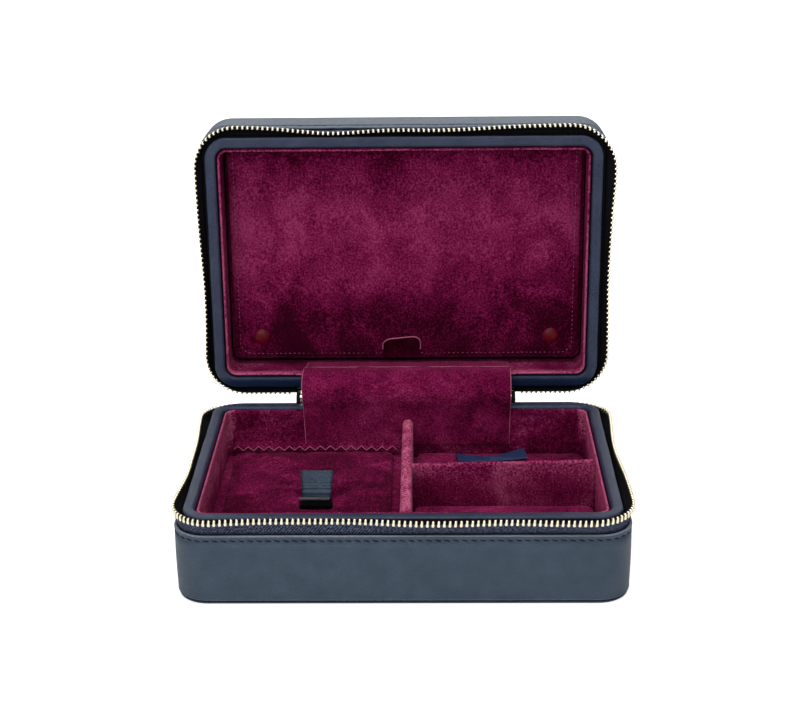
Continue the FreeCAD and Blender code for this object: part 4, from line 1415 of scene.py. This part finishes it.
@dataclass
class BaseInterior(Interior):
    """Velvet floor, dividers, padded floor of the front tray and pinked strip of the base."""

    floor: float = -37.8
    divider_x: float = 1.2
    divider: float = 5.6
    divider_top: float = -6.4
    divider_back: float = 60.1
    cross_y: float = 5.5
    cross: float = 3.0
    cross_tilt: float = 2.0
    cross_bite: float = 0.4
    pad_gap: float = 0.5
    pad_top: float = -29.1
    strip_x: tuple[float, float] = (-94.0, -4.6)
    strip_top: float = -13.4
    strip_seat: float = 61.45
    strip_stand: float = 59.45
    strip_tip: float = -24.4
    strip_back: tuple[float, float, float] = (0.0, 0.2, -0.35)
    strip_share: float = 0.84
    pink_pitch: float = 5.6
    pink_depth: float = 2.4
    fray: float = 0.26

    def wall(self, ends: tuple, thickness: float, tops: tuple[float, float], seed: int) -> Form:
        """Soft divider with a round top.

        Args:
            ends: The two ends of its middle line.
            thickness: Its thickness.
            tops: Height of its top at each end.
            seed: Number that fixes its unevenness.

        Returns:
            Points and faces.
        """
        start, end = (np.array(v, float) for v in ends)
        length = float(np.linalg.norm(end - start))
        along = (end - start) / length
        across = np.array([-along[1], along[0]])
        run = np.linspace(0, length, int(length / 0.9))
        half = thickness / 2 * (1 + 0.06 * MeshKit.ripple(run, (41.0, 17.0, 9.0), seed))
        top = np.linspace(*tops, len(run)) + 0.25 * MeshKit.ripple(run, (53.0, 31.0, 14.5), seed + 1)
        turn = np.linspace(0, math.pi, 11)
        rings = []
        for r, h, t in zip(run, half, top):
            rise = np.linspace(self.floor, t - h, 7, endpoint=False)
            side = np.concatenate([np.full(7, -h), -h * np.cos(turn), np.full(7, h)])
            height = np.concatenate([rise, t - h + h * np.sin(turn), rise[::-1]])
            flat = start + along * r + across * side[:, None]
            rings.append(np.column_stack([flat, height]))
        return MeshKit.stack(rings)

    def build_dividers(self) -> None:
        """Soft centre divider and the thin divider across the right side."""
        top, tilt = self.divider_top, self.cross_tilt / 2
        ends = (self.divider_x, -self.room_y + self.slack), (self.divider_x, self.divider_back)
        form = self.wall(ends, self.divider, (top, top), 31)
        place = Half.BASE, "base", Slot.VELVET
        self.put("velvet_centre_divider", form, self.finishes.pile, *place, "centre_divider")
        left = self.divider_x + self.divider / 2 - self.cross_bite
        ends = (left, self.cross_y), (self.room_x - self.slack, self.cross_y)
        form = self.wall(ends, self.cross, (top - tilt, top + tilt), 37)
        self.put("velvet_cross_divider", form, self.finishes.cross, *place, "cross_divider")

    def build_pad(self) -> None:
        """Padded floor of the front right tray."""
        gap = self.pad_gap
        low = (self.divider_x + self.divider / 2 + gap, -self.room_y + gap, self.floor)
        high = (self.room_x - gap, self.cross_y - self.cross / 2 - gap, self.pad_top)
        board = SoftBoard(low, high, edge=2.2, crown=0.5, seed=11)
        piece = MeshKit.make("velvet_front_pad", *board.mesh(), self.finishes.velvet)
        Padding(voxel=2.0).swell(piece, self.pad_top - 2.0)
        self.cushion(piece, Half.BASE, "base", "front_right_pad", 0.7)

    def build_strip(self) -> None:
        """Cloth behind the left panel, its lower edge cut in a zigzag and frayed."""
        left, right = self.strip_x
        top, seat = self.strip_top, self.strip_seat
        count = round((right - left) / self.pink_pitch)
        x = np.linspace(left, right, count * 8 + 1)
        saw = np.abs(((x - left) / (right - left) * count) % 1 * 2 - 1)
        waver = 0.25 * MeshKit.ripple(x, (61.0, 17.0), 41)
        foot = self.strip_tip + self.pink_depth * (1 - saw) + waver
        stand = self.strip_stand - 0.25 * MeshKit.ripple(x, (37.0, 15.0), 43)
        rows = []
        for t in np.linspace(0, 1, 13):
            y = seat + (stand - seat) * np.clip(t * 3.0 - 2.0, 0, 1) ** 0.8
            rows.append(np.column_stack([x, y, top + (foot - top) * t]))
        rows += [row + self.strip_back for row in reversed(rows)]
        form = MeshKit.stack(np.stack(rows).transpose(1, 0, 2))
        place = Half.BASE, "base", Slot.VELVET
        piece = self.put("pinked_strip", form, self.finishes.velvet, *place, "left_hinge_strip")
        thread = MeshKit.tube(np.column_stack([x, stand + 0.1, foot]), self.fray)
        self.put("pinked_edge", thread, self.finishes.raw_edge_and_highlight, *place)

    def build(self) -> None:
        """Build the base's inside."""
        self.lining("base_velvet_floor", self.floor, Half.BASE, "base_floor_lining")
        self.build_dividers()
        self.build_pad()
        self.build_strip()
        clothe("left_ledges", self.finishes.velvet)
        clothe("rear_ledges", self.finishes.velvet)


@dataclass
class LiftPanels(Interior):
    """The two lift-up panels with their leather pulls."""

    left_low: tuple[float, float, float] = (-92.6, -59.5, -27.1)
    left_high: tuple[float, float, float] = (-6.0, 59.0, -24.0)
    slot_low: tuple[float, float, float] = (-52.8, -13.0, -40.0)
    slot_high: tuple[float, float, float] = (-36.0, -2.0, -10.0)
    slot_edge: float = 0.8
    held_foot: float = 0.5
    rear_low: tuple[float, float, float] = (5.4, 8.4, -28.5)
    rear_high: tuple[float, float, float] = (95.6, 59.0, -25.4)
    tab_x: float = -44.4
    tab_foot: float = -27.0
    tab_bend: float = -21.9
    tab_y: float = -2.85
    tab_leather: float = 1.4
    tab_reach: float = 13.6
    tab_lean: float = 38.0
    tab_widths: tuple[float, float] = (14.6, 16.8)
    tab_share: float = 0.93
    lip_low: tuple[float, float, float] = (-9.0, -2.8, -0.6)
    lip_high: tuple[float, float, float] = (6.6, -0.6, 0.4)
    bow_place: tuple[float, float, float] = (46.0, 46.6, -23.9)
    bow_length: float = 37.0
    bow_widths: tuple[float, float] = (4.6, 13.4)
    bow_turn: float = 7.0
    bow_rises: tuple[float, float] = (2.0, 6.0)
    bow_leather: float = 1.2
    bow_share: float = 0.72

    def build_left(self) -> None:
        """Left panel with the slot of its pull."""
        board = SoftBoard(self.left_low, self.left_high, seed=5, lumps=0.3)
        piece = MeshKit.make("velvet_left_panel", *board.mesh(), self.finishes.panel)
        hole = SoftBoard.flat(self.slot_low, self.slot_high, (1.0, 1.0, 1.0, 1.0), 0.2, (4, 4, 4))
        cutter = MeshKit.make("slot_cutter", *hole.mesh(), self.finishes.velvet)
        cut = piece.modifiers.new("slot", "BOOLEAN")
        cut.object = cutter
        cut.operation = "DIFFERENCE"
        Padding.apply(piece)
        bpy.data.objects.remove(cutter)
        low = np.array(self.slot_low[:2]) - self.slot_edge
        high = np.array(self.slot_high[:2]) + self.slot_edge
        Padding().swell(piece, self.left_low[2] + self.held_foot, (low, high))
        self.cushion(piece, Half.BASE, "left_lift_panel", "left_panel", 0.5)

    def build_left_tab(self) -> None:
        """Creased leather tab that rises through the slot and leans back, with a raw lip at its foot."""
        lean = math.radians(self.tab_lean)
        leg = np.array([(self.tab_y, z) for z in np.linspace(self.tab_foot, self.tab_bend, 10)])
        reach = np.linspace(0, self.tab_reach, 40)[1:]
        bend = lean * np.clip(reach / 3.0, 0, 1)
        step = np.diff(np.concatenate([[0], reach]))
        wing = leg[-1] + np.cumsum(np.column_stack([np.sin(bend), np.cos(bend)]) * step[:, None], axis=0)
        path = np.concatenate([leg, wing])
        run = MeshKit.lengths(path)
        up = np.clip((run - run[len(leg) - 1]) / self.tab_reach, 0, 1)
        narrow, wide = self.tab_widths
        crease = MeshKit.ripple(run, (3.1, 1.9, 1.4), 51) * 0.3 * np.exp(-((up - 0.3) / 0.28) ** 2) * (up > 0)
        points, faces = MeshKit.strip(path, narrow + (wide - narrow) * up, self.tab_leather, 15, 0.12, crease)
        points[:, 0] += self.tab_x
        place = Half.BASE, "left_lift_panel", Slot.LEATHER
        piece = self.put("left_leather_tab", (points, faces), self.finishes.tab, *place, "left_pull_tab")
        # Painted shade: the leg below the bend is black, for the shadow inside the slot.
        piece.data.materials.append(self.finishes.board)
        heights = np.array([points[face, 2].mean() for face in faces])
        piece.data.polygons.foreach_set("material_index", (heights < self.tab_bend - 0.7).astype(np.int32))
        foot = np.array((self.tab_x, self.tab_y, self.tab_bend))
        lip = SoftBoard(
            tuple(foot + self.lip_low), tuple(foot + self.lip_high), (0.5, 0.6, 0.6, 0.5), 0.45, 0.0, 0.0,
            0.05, (3, 16, 4),
        )
        self.put("left_tab_lip", lip.mesh(), self.finishes.raw_leather, *place)

    def build_rear(self) -> None:
        """Rear right panel."""
        board = SoftBoard(self.rear_low, self.rear_high, seed=9, lumps=0.25)
        piece = MeshKit.make("velvet_rear_panel", *board.mesh(), self.finishes.velvet)
        Padding().swell(piece, self.rear_low[2] + self.held_foot)
        self.cushion(piece, Half.BASE, "rear_lift_panel", "rear_right_panel", 0.5)

    def build_bow(self) -> None:
        """Leather bow: two wings from a pinched knot."""
        narrow, wide = self.bow_widths
        v = np.linspace(-1, 1, 11)
        rings = []
        for u in np.linspace(-1, 1, 61):
            rise = math.radians(self.bow_rises[1] if u > 0 else self.bow_rises[0])
            share = abs(u) ** 0.8
            half = (narrow + (wide - narrow) * share) / 2
            along = u * self.bow_length / 2 * math.cos(rise)
            lift = abs(u) * self.bow_length / 2 * math.sin(rise)
            pinch = (1 - share) * 0.9
            fold = lift - pinch * v * v + 0.5 * share * v * v + 0.25 * np.sin(u * 9 + v * 2) * (1 - share)
            thick = self.bow_leather * (1 + 0.6 * (1 - share)) * np.sqrt(np.clip(1.04 - v ** 8, 0.06, 1))
            x = np.full(len(v), along)
            upper = np.column_stack([x, v * half, fold + thick / 2])
            lower = np.column_stack([x, v * half, fold - thick / 2])[::-1]
            rings.append(np.concatenate([upper, lower]))
        points, faces = MeshKit.stack(rings)
        turn = math.radians(self.bow_turn)
        x, y = points[:, 0].copy(), points[:, 1].copy()
        points[:, 0] = x * math.cos(turn) - y * math.sin(turn)
        points[:, 1] = x * math.sin(turn) + y * math.cos(turn)
        piece = self.put(
            "rear_leather_bow", (points + self.bow_place, faces), self.finishes.pull, Half.BASE,
            "rear_lift_panel", Slot.LEATHER, "rear_bow_pull",
        )

    def build(self) -> None:
        """Build both panels."""
        self.build_left()
        self.build_left_tab()
        self.build_rear()
        self.build_bow()


@dataclass
class LidInterior(Interior):
    """Buttoned flap of the lid and what is behind it."""

    backing: float = -30.5
    flap_low: tuple[float, float, float] = (-95.2, -60.1, -22.4)
    flap_high: tuple[float, float, float] = (95.2, 59.1, -20.0)
    corner: float = 8.0
    seam_inset: float = 3.9
    seam_reach: float = 1.3
    stud_x: float = 79.5
    stud_y: float = 45.2
    cap_radius: float = 4.5
    cap_height: float = 1.9
    cap_foot: float = 0.8
    tab_low: tuple[float, float, float] = (-12.8, 43.4, 0.0)
    tab_high: tuple[float, float, float] = (8.2, 57.7, 0.9)
    tab_corner: float = 5.0
    tab_seat: float = 0.5
    tab_stand: float = 3.4
    tab_slant: float = 2.6
    tab_edge: float = 0.36
    block: float = 15.0
    block_top: float = -25.0
    strip_x: float = 95.0
    strip_z: tuple[float, float] = (-24.0, -16.0)
    strip_cloth: float = 0.8

    def seam(self) -> Outline:
        """Line of the stitches: down both sides and along the free end.

        Returns:
            Its stations, from one side to the other.
        """
        (x0, y0, _), (x1, y1, _) = self.flap_low, self.flap_high
        inset, bend = self.seam_inset, self.corner - 1.5
        radii = (bend, 0.3, 0.3, bend)
        line = Outline.rounded((x0 + inset, y0), (x1 - inset, y1 - inset), radii, (10, 60, 60))
        keep = line.normal[:, 1] > -0.5
        first = int(np.flatnonzero(~keep)[-1]) + 1
        order = np.roll(np.arange(len(keep)), -first)
        return line.part(order[keep[order]])

    def build_flap(self) -> None:
        """Padded velvet flap with a sewn channel and its stitches."""
        radii = (self.corner, 1.0, 1.0, self.corner)
        board = SoftBoard(self.flap_low, self.flap_high, radii, 1.1, 0.4, 0.4, 0.2, (10, 80, 52), 17)
        piece = MeshKit.make("velvet_flap", *board.mesh(), self.finishes.brushed)
        Padding(voxel=1.6, cap=0.7).swell(piece, self.flap_low[2] + 0.4)
        line = self.seam()
        points = MeshKit.read(piece)
        front = points[:, 2] > (self.flap_low[2] + self.flap_high[2]) / 2
        batches = np.array_split(points[:, :2], len(points) // 4000 + 1)
        squares = [((batch[:, None] - line.place) ** 2).sum(2).min(1) for batch in batches]
        depth = np.exp(-(np.sqrt(np.concatenate(squares)) / self.seam_reach) ** 2) * front
        seat = self.flap_high[2] + 0.1
        points[:, 2] += (np.minimum(seat, points[:, 2]) - points[:, 2]) * depth
        MeshKit.write(piece, points)
        self.cushion(piece, Half.LID, "flap", "necklace_flap", 0.4)
        path = np.column_stack([line.place, np.full(len(line.run), seat + 0.12)])
        out = np.tile((0.0, 0.0, 1.0), (len(path), 1))
        stitches = StitchRow(pitch=2.5, length=1.5, width=0.42, rise=0.4, slant=0.0).lay(path, out, False)
        self.put("flap_stitches", stitches, self.finishes.velvet_thread, Half.LID, "flap", Slot.VELVET)

    def build_caps(self) -> None:
        """Domed press-stud caps."""
        around = np.linspace(0, 2 * math.pi, 32, endpoint=False)
        parts = []
        for side in (-1, 1):
            rings = []
            for t in np.linspace(0, 1, 9):
                radius = self.cap_radius * math.cos(t * math.pi / 2 * 0.97)
                z = self.flap_high[2] + 0.25 + self.cap_height * math.sin(t * math.pi / 2) ** 0.8
                x = side * self.stud_x + radius * np.cos(around)
                y = self.stud_y + radius * np.sin(around)
                rings.append(np.column_stack([x, y, np.full(len(around), z)]))
            parts.append(MeshKit.stack([rings[0] - (0.0, 0.0, self.cap_foot)] + rings))
        domes = MeshKit.join(parts)
        self.put("stud_domes", domes, self.finishes.cap, Half.LID, "flap", Slot.CAP, "stud_caps")

    def curl(self, rows: np.ndarray) -> np.ndarray:
        """Lift the free end of the tab off the flap.

        Args:
            rows: Points of the flat tab.

        Returns:
            The lifted points.
        """
        across, t = ((rows - self.tab_low) / (np.array(self.tab_high) - self.tab_low)).T[:2]
        t = 1 - t
        lift = self.flap_high[2] + self.tab_seat + self.tab_stand * t ** 2 * (1 + 0.5 * across)
        return rows + np.column_stack([0 * t, self.tab_slant * t * (1 - across), lift])

    def build_tab(self) -> None:
        """Small velvet tab that curls off the flap, with a raw edge."""
        (x0, y0, _), (x1, y1, _) = self.tab_low, self.tab_high
        radius = self.tab_corner
        board = SoftBoard.flat(self.tab_low, self.tab_high, (1.0, radius, radius, 1.0), 0.4, (10, 20, 14))
        points, faces = board.mesh()
        place = Half.LID, "flap", Slot.VELVET
        form = self.curl(points), faces
        # The tab's darker velvet is painted shade.
        piece = self.put("flap_velvet_tab", form, self.finishes.shaded, *place, "flap_pull_tab")
        line = self.curl(board.ring(0.15, 0.75))
        first = int(np.argmin(np.abs(line[:, 0] - x1) + np.abs(line[:, 1] - y1)))
        line = np.roll(line, -first, axis=0)
        line = line[line[:, 1] < y1 - radius]
        start = int(np.argmax(np.linalg.norm(line - np.roll(line, 1, axis=0), axis=1)))
        thread = MeshKit.tube(np.roll(line, -start, axis=0), self.tab_edge)
        self.put("flap_tab_edge", thread, self.finishes.raw_edge_and_highlight, *place)

    def build_backing(self) -> None:
        """Velvet on the lid's backing, the blocks under the studs and the strip that the flap hangs from."""
        self.lining("lid_velvet_back", self.backing, Half.LID, "lid_back_lining")
        half, y = self.block / 2, self.stud_y
        parts = []
        for x in (-self.stud_x, self.stud_x):
            low, high = (x - half, y - half, self.backing + 0.1), (x + half, y + half, self.block_top)
            parts.append(SoftBoard(low, high, (1.5, 1.5, 1.5, 1.5), 1.0, 0.0, 0.2, 0.1, (4, 12, 12)).mesh())
        place = Half.LID, "lid", Slot.VELVET
        self.put("stud_cushions", MeshKit.join(parts), self.finishes.velvet, *place, "stud_blocks")
        back, (low, high) = -self.room_y + self.slack, self.strip_z
        strip = SoftBoard.flat(
            (-self.strip_x, back, low), (self.strip_x, back + self.strip_cloth, high), (0.3, 0.3, 0.3, 0.3),
            0.3, (3, 80, 3),
        )
        self.put("flap_cloth_hinge", strip.mesh(), self.finishes.velvet, *place, "flap_hinge_strip")
        for node in ("stud_posts", "stud_sockets", "necklace_pegs"):
            clothe(node, self.finishes.brass)
        clothe("peg_strip", self.finishes.pull)

    def build(self) -> None:
        """Build the lid's inside."""
        self.build_backing()
        self.build_flap()
        self.build_caps()
        self.build_tab()


@dataclass
class HingeCover(Interior):
    """Leather spine outside and velvet flap inside, drawn across the hinge in the open pose."""

    flap_x: tuple[float, float] = (-54.8, 56.6)
    flap_cloth: float = 0.9
    flap_count: int = 75
    flap_turns: tuple[tuple[float, float], ...] = (
        (60.9, 22.0), (60.85, 30.0), (60.9, 40.0), (60.75, 44.0), (60.0, 48.0), (60.3, 52.0), (62.6, 56.3),
        (67.0, 59.6), (72.0, 60.9), (77.0, 60.5), (82.0, 58.6), (87.0, 57.1), (92.0, 56.6), (96.4, 56.2),
    )
    flap_bend: tuple[tuple, tuple] = ((0.0, 0.0609, 0.0444), (0.0, 0.077, 0.0605))
    fold_highlight_row: int = 60
    fold_highlight_place: tuple[float, float] = (78.6, 60.35)
    fray: float = 0.24
    tape_end: float = 58.5
    tape_width: float = 2.2
    tape_cloth: float = 0.8
    tape_turns: tuple[tuple[float, float], ...] = (
        (71.3, 38.5), (71.3, 41.5), (71.5, 43.6), (72.6, 45.4), (74.6, 46.4), (77.5, 46.6), (80.5, 46.5),
    )
    tape_bend: tuple[tuple, tuple] = ((0.0, 0.0713, 0.0425), (0.0, 0.0765, 0.0466))
    spine_x: tuple[float, float] = (-46.0, 46.0)
    spine_leather: float = 1.3
    spine_bend: float = 1.1
    spine_lap: tuple[float, float] = (0.4, 20.0)

    def bend(
        self, name: str, form: Form, finish: bpy.types.Material, slot: Slot, ends: tuple[tuple, tuple],
        *nodes: str,
    ) -> bpy.types.Object:
        """Make a piece at the hinge and hide the CAD nodes that it stands for.

        Args:
            name: Name of the piece.
            form: Points and faces at rest.
            finish: Material.
            slot: Material slot of the record; not used.
            ends: Where the bend starts and where it ends; not used.
            *nodes: CAD nodes that it stands for.

        Returns:
            The piece.
        """
        piece = MeshKit.make(name, *form, finish)
        if nodes:
            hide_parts(*nodes)
        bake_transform(piece)
        LOG.info("%s bends with the lid", name)
        return piece

    def build_flap(self) -> None:
        """Velvet flap from the base's wall over the rims into the lid, with soft folds and frayed sides, and
        a pale thread along its crest that is a painted highlight.
        """
        path = MeshKit.smooth_line(np.array(self.flap_turns), 90)
        run = MeshKit.lengths(path)
        t = run / run[-1]
        stops = (0, 0.3, 0.5, 0.75, 1)
        left = self.flap_x[0] + np.interp(t, stops, (0.6, 0.0, -0.9, -0.2, 0.5))
        right = self.flap_x[1] + np.interp(t, stops, (-0.8, -0.3, 0.0, 0.0, -0.6))
        points, faces = MeshKit.strip(path, right - left, self.flap_cloth, self.flap_count, 0.25)
        points[:, 0] += np.repeat((left + right) / 2, self.flap_count * 2)
        form = points, faces
        piece = self.bend(
            "velvet_hinge_flap", form, self.finishes.folded, Slot.VELVET, self.flap_bend, "hinge_flap"
        )
        # Painted highlight: a pale thread along the crest of the fold, in the raw-edge finish.
        fold_highlight_x = np.linspace(left[self.fold_highlight_row] + 0.3, right[self.fold_highlight_row] - 0.3, 90)
        waver = 0.12 * MeshKit.ripple(fold_highlight_x, (23.0, 9.0, 4.1), 71)
        y, z = self.fold_highlight_place
        lines = {
            "edge_left": np.column_stack([left, path]), "edge_right": np.column_stack([right, path]),
            "fold": np.column_stack([fold_highlight_x, np.full(90, y), z + waver]),
        }
        for name, line in lines.items():
            thread = MeshKit.tube(line, self.fray)
            self.bend(f"hinge_flap_{name}", thread, self.finishes.raw_edge_and_highlight, Slot.VELVET, self.flap_bend)

    def build_tape_ends(self) -> None:
        """Ends of the zip tapes that cross from the base to the lid beside the flap."""
        path = MeshKit.smooth_line(np.array(self.tape_turns), 30)
        width = np.full(len(path), self.tape_width)
        for side, sign in (("left", -1), ("right", 1)):
            points, faces = MeshKit.strip(path, width, self.tape_cloth, 7)
            points[:, 0] += sign * self.tape_end
            form = points, faces
            self.bend(f"zip_tape_end_{side}", form, self.finishes.board, Slot.TAPE, self.tape_bend)

    def build_spine(self) -> None:
        """Leather spine across the back."""
        y, z, radius = self.plan.hinge_y, self.plan.base_height, self.spine_bend
        near, far = self.spine_lap
        tilt = math.radians(self.plan.open_angle - 90)
        turn = np.linspace(math.pi, math.pi / 2 - tilt, 12)
        arc = np.column_stack([y + radius * np.cos(turn), z + radius * np.sin(turn)])
        base = np.column_stack([np.full(18, y - radius), np.linspace(z - far, z - near, 18)])
        lid = arc[-1] + np.linspace(near, far, 18)[:, None] * np.array([math.cos(tilt), -math.sin(tilt)])
        path = np.concatenate([base, arc, lid])
        width = np.full(len(path), self.spine_x[1] - self.spine_x[0])
        form = MeshKit.strip(path, width, self.spine_leather, 40, 0.05)
        ends = (0.0, (y - radius) * MM, (z - 0.5) * MM), (0.0, (y + 0.4) * MM, (z + radius) * MM)
        piece = self.bend("leather_spine", form, self.finishes.leather, Slot.LEATHER, ends, "spine_leather")
        flat = (float(width[0]) * MM, float(MeshKit.lengths(path)[-1]) * MM)

    def build(self) -> None:
        """Build the hinge."""
        self.build_flap()
        self.build_tape_ends()
        self.build_spine()


@dataclass
class PhotoStage:
    """White floor, soft lights and the photograph's camera."""

    focal_px: float = 1603.8
    width_px: float = 800.0
    centre_drop_px: float = 31.0
    place: tuple[float, float, float] = (12.94, -732.86, 381.56)
    pitch: float = 0.394349
    yaw: float = -0.0199285
    roll: float = 0.011777
    floor_side: float = 3000.0
    floor_level: float = -0.1
    floor_glow: float = 0.5
    ambient: float = 0.3
    backdrop: float = 1.05
    aim: tuple[float, float, float] = (0.0, 0.02, 0.07)

    def build_camera(self) -> None:
        """Camera that was fitted to the rims of the case."""
        data = bpy.data.cameras.new("photo_camera")
        data.sensor_fit = "HORIZONTAL"
        data.sensor_width = 36.0
        data.lens = self.focal_px / self.width_px * data.sensor_width
        data.shift_y = self.centre_drop_px / self.width_px
        data.clip_start = 0.01
        camera = bpy.data.objects.new("photo_camera", data)
        bpy.context.scene.collection.objects.link(camera)
        level = math.cos(self.pitch)
        ahead = Vector((math.sin(self.yaw) * level, math.cos(self.yaw) * level, -math.sin(self.pitch)))
        right = Vector((math.cos(self.yaw), -math.sin(self.yaw), 0.0))
        down = ahead.cross(right)
        across = right * math.cos(self.roll) + down * math.sin(self.roll)
        below = down * math.cos(self.roll) - right * math.sin(self.roll)
        turn = Matrix((across, -below, -ahead)).transposed().to_4x4()
        camera.matrix_world = Matrix.Translation(Vector(self.place) * MM) @ turn
        bpy.context.scene.camera = camera

    def build_light(
        self, name: str, place: tuple[float, float, float], size: tuple[float, float], power: float
    ) -> None:
        """Soft rectangular light that faces the case.

        Args:
            name: Name of the light.
            place: Where it stands, in metres.
            size: Its width and height in metres.
            power: Its power in watts.
        """
        data = bpy.data.lights.new(name, "AREA")
        data.shape = "RECTANGLE"
        data.size, data.size_y = size
        data.energy = power
        light = bpy.data.objects.new(name, data)
        bpy.context.scene.collection.objects.link(light)
        aim = Vector(self.aim) - Vector(place)
        light.matrix_world = Matrix.Translation(place) @ aim.to_track_quat("-Z", "Y").to_matrix().to_4x4()

    def build_floor(self) -> None:
        """Plain white floor, which looks brighter than it lights."""
        shader = Shader("white_floor")
        seen = shader.node("LightPath").outputs["Is Camera Ray"]
        glow = shader.node("MapRange", {"Value": seen, "To Max": self.floor_glow}).outputs[0]
        shader.finish(
            Base_Color=(0.9, 0.9, 0.9, 1.0), Roughness=0.9, Specular_IOR_Level=0.0,
            Emission_Color=(1.0, 1.0, 1.0, 1.0), Emission_Strength=glow,
        )
        side, level = self.floor_side, self.floor_level
        corners = [(-side, -side, level), (side, -side, level), (side, side, level), (-side, side, level)]
        floor = MeshKit.make("floor", np.array(corners), [(0, 1, 2, 3)], shader.material)

    def build_world(self) -> None:
        """White surroundings, brighter to the camera than as a light."""
        world = bpy.data.worlds.new("white_room")
        world.use_nodes = True
        tree = world.node_tree
        back = tree.nodes["Background"]
        path = tree.nodes.new("ShaderNodeLightPath")
        level = tree.nodes.new("ShaderNodeMapRange")
        level.inputs["To Min"].default_value = self.ambient
        level.inputs["To Max"].default_value = self.backdrop
        tree.links.new(path.outputs["Is Camera Ray"], level.inputs["Value"])
        tree.links.new(level.outputs[0], back.inputs["Strength"])
        back.inputs["Color"].default_value = (1.0, 1.0, 1.0, 1.0)
        bpy.context.scene.world = world

    def build(self) -> None:
        """Build floor, surroundings, lights and camera."""
        self.build_floor()
        self.build_world()
        self.build_light("overhead", (0.0, -0.1, 1.3), (1.3, 0.9), 13.0)
        self.build_light("front", (-0.3, -1.4, 0.7), (1.0, 0.8), 10.0)
        self.build_light("back", (0.0, 1.5, 0.9), (1.8, 0.8), 10.0)
        self.build_camera()
        view = bpy.context.scene.view_settings
        view.view_transform = "Standard"
        LOG.info("stage built")


def main() -> None:
    """Build every sub-assembly in order, then the stage."""
    logging.basicConfig(level=logging.INFO, format="%(name)s: %(message)s")
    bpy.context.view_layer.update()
    finishes = Finishes()
    plan = CasePlan()
    base_sags = (
        Sag(Side.FRONT, -46.0, 42.0, 3.2, 4), Sag(Side.FRONT, 50.0, 18.0, 1.4),
        Sag(Side.LEFT, 10.0, 30.0, 2.5), Sag(Side.LEFT, -24.0, 20.0, 2.0), Sag(Side.RIGHT, 10.0, 30.0, 2.5),
    )
    lid_sags = (
        Sag(Side.FRONT, -38.0, 26.0, 3.3), Sag(Side.FRONT, 18.0, 34.0, 2.2),
        Sag(Side.LEFT, 20.0, 36.0, 2.0), Sag(Side.RIGHT, -48.0, 16.0, -1.3), Sag(Side.RIGHT, 10.0, 22.0, 0.8),
    )
    CaseHalf(plan, Half.BASE, finishes, base_sags).build()
    CaseHalf(plan, Half.LID, finishes, lid_sags, tape_end=57.6, first_tooth=2).build()
    for node in ("slider_left", "slider_right", "slider_pull_left", "slider_pull_right"):
        clothe(node, finishes.teeth)
    BaseInterior(plan, finishes).build()
    LiftPanels(plan, finishes).build()
    LidInterior(plan, finishes).build()
    HingeCover(plan, finishes).build()
    PhotoStage().build()


if __name__ == "__main__":
    main()
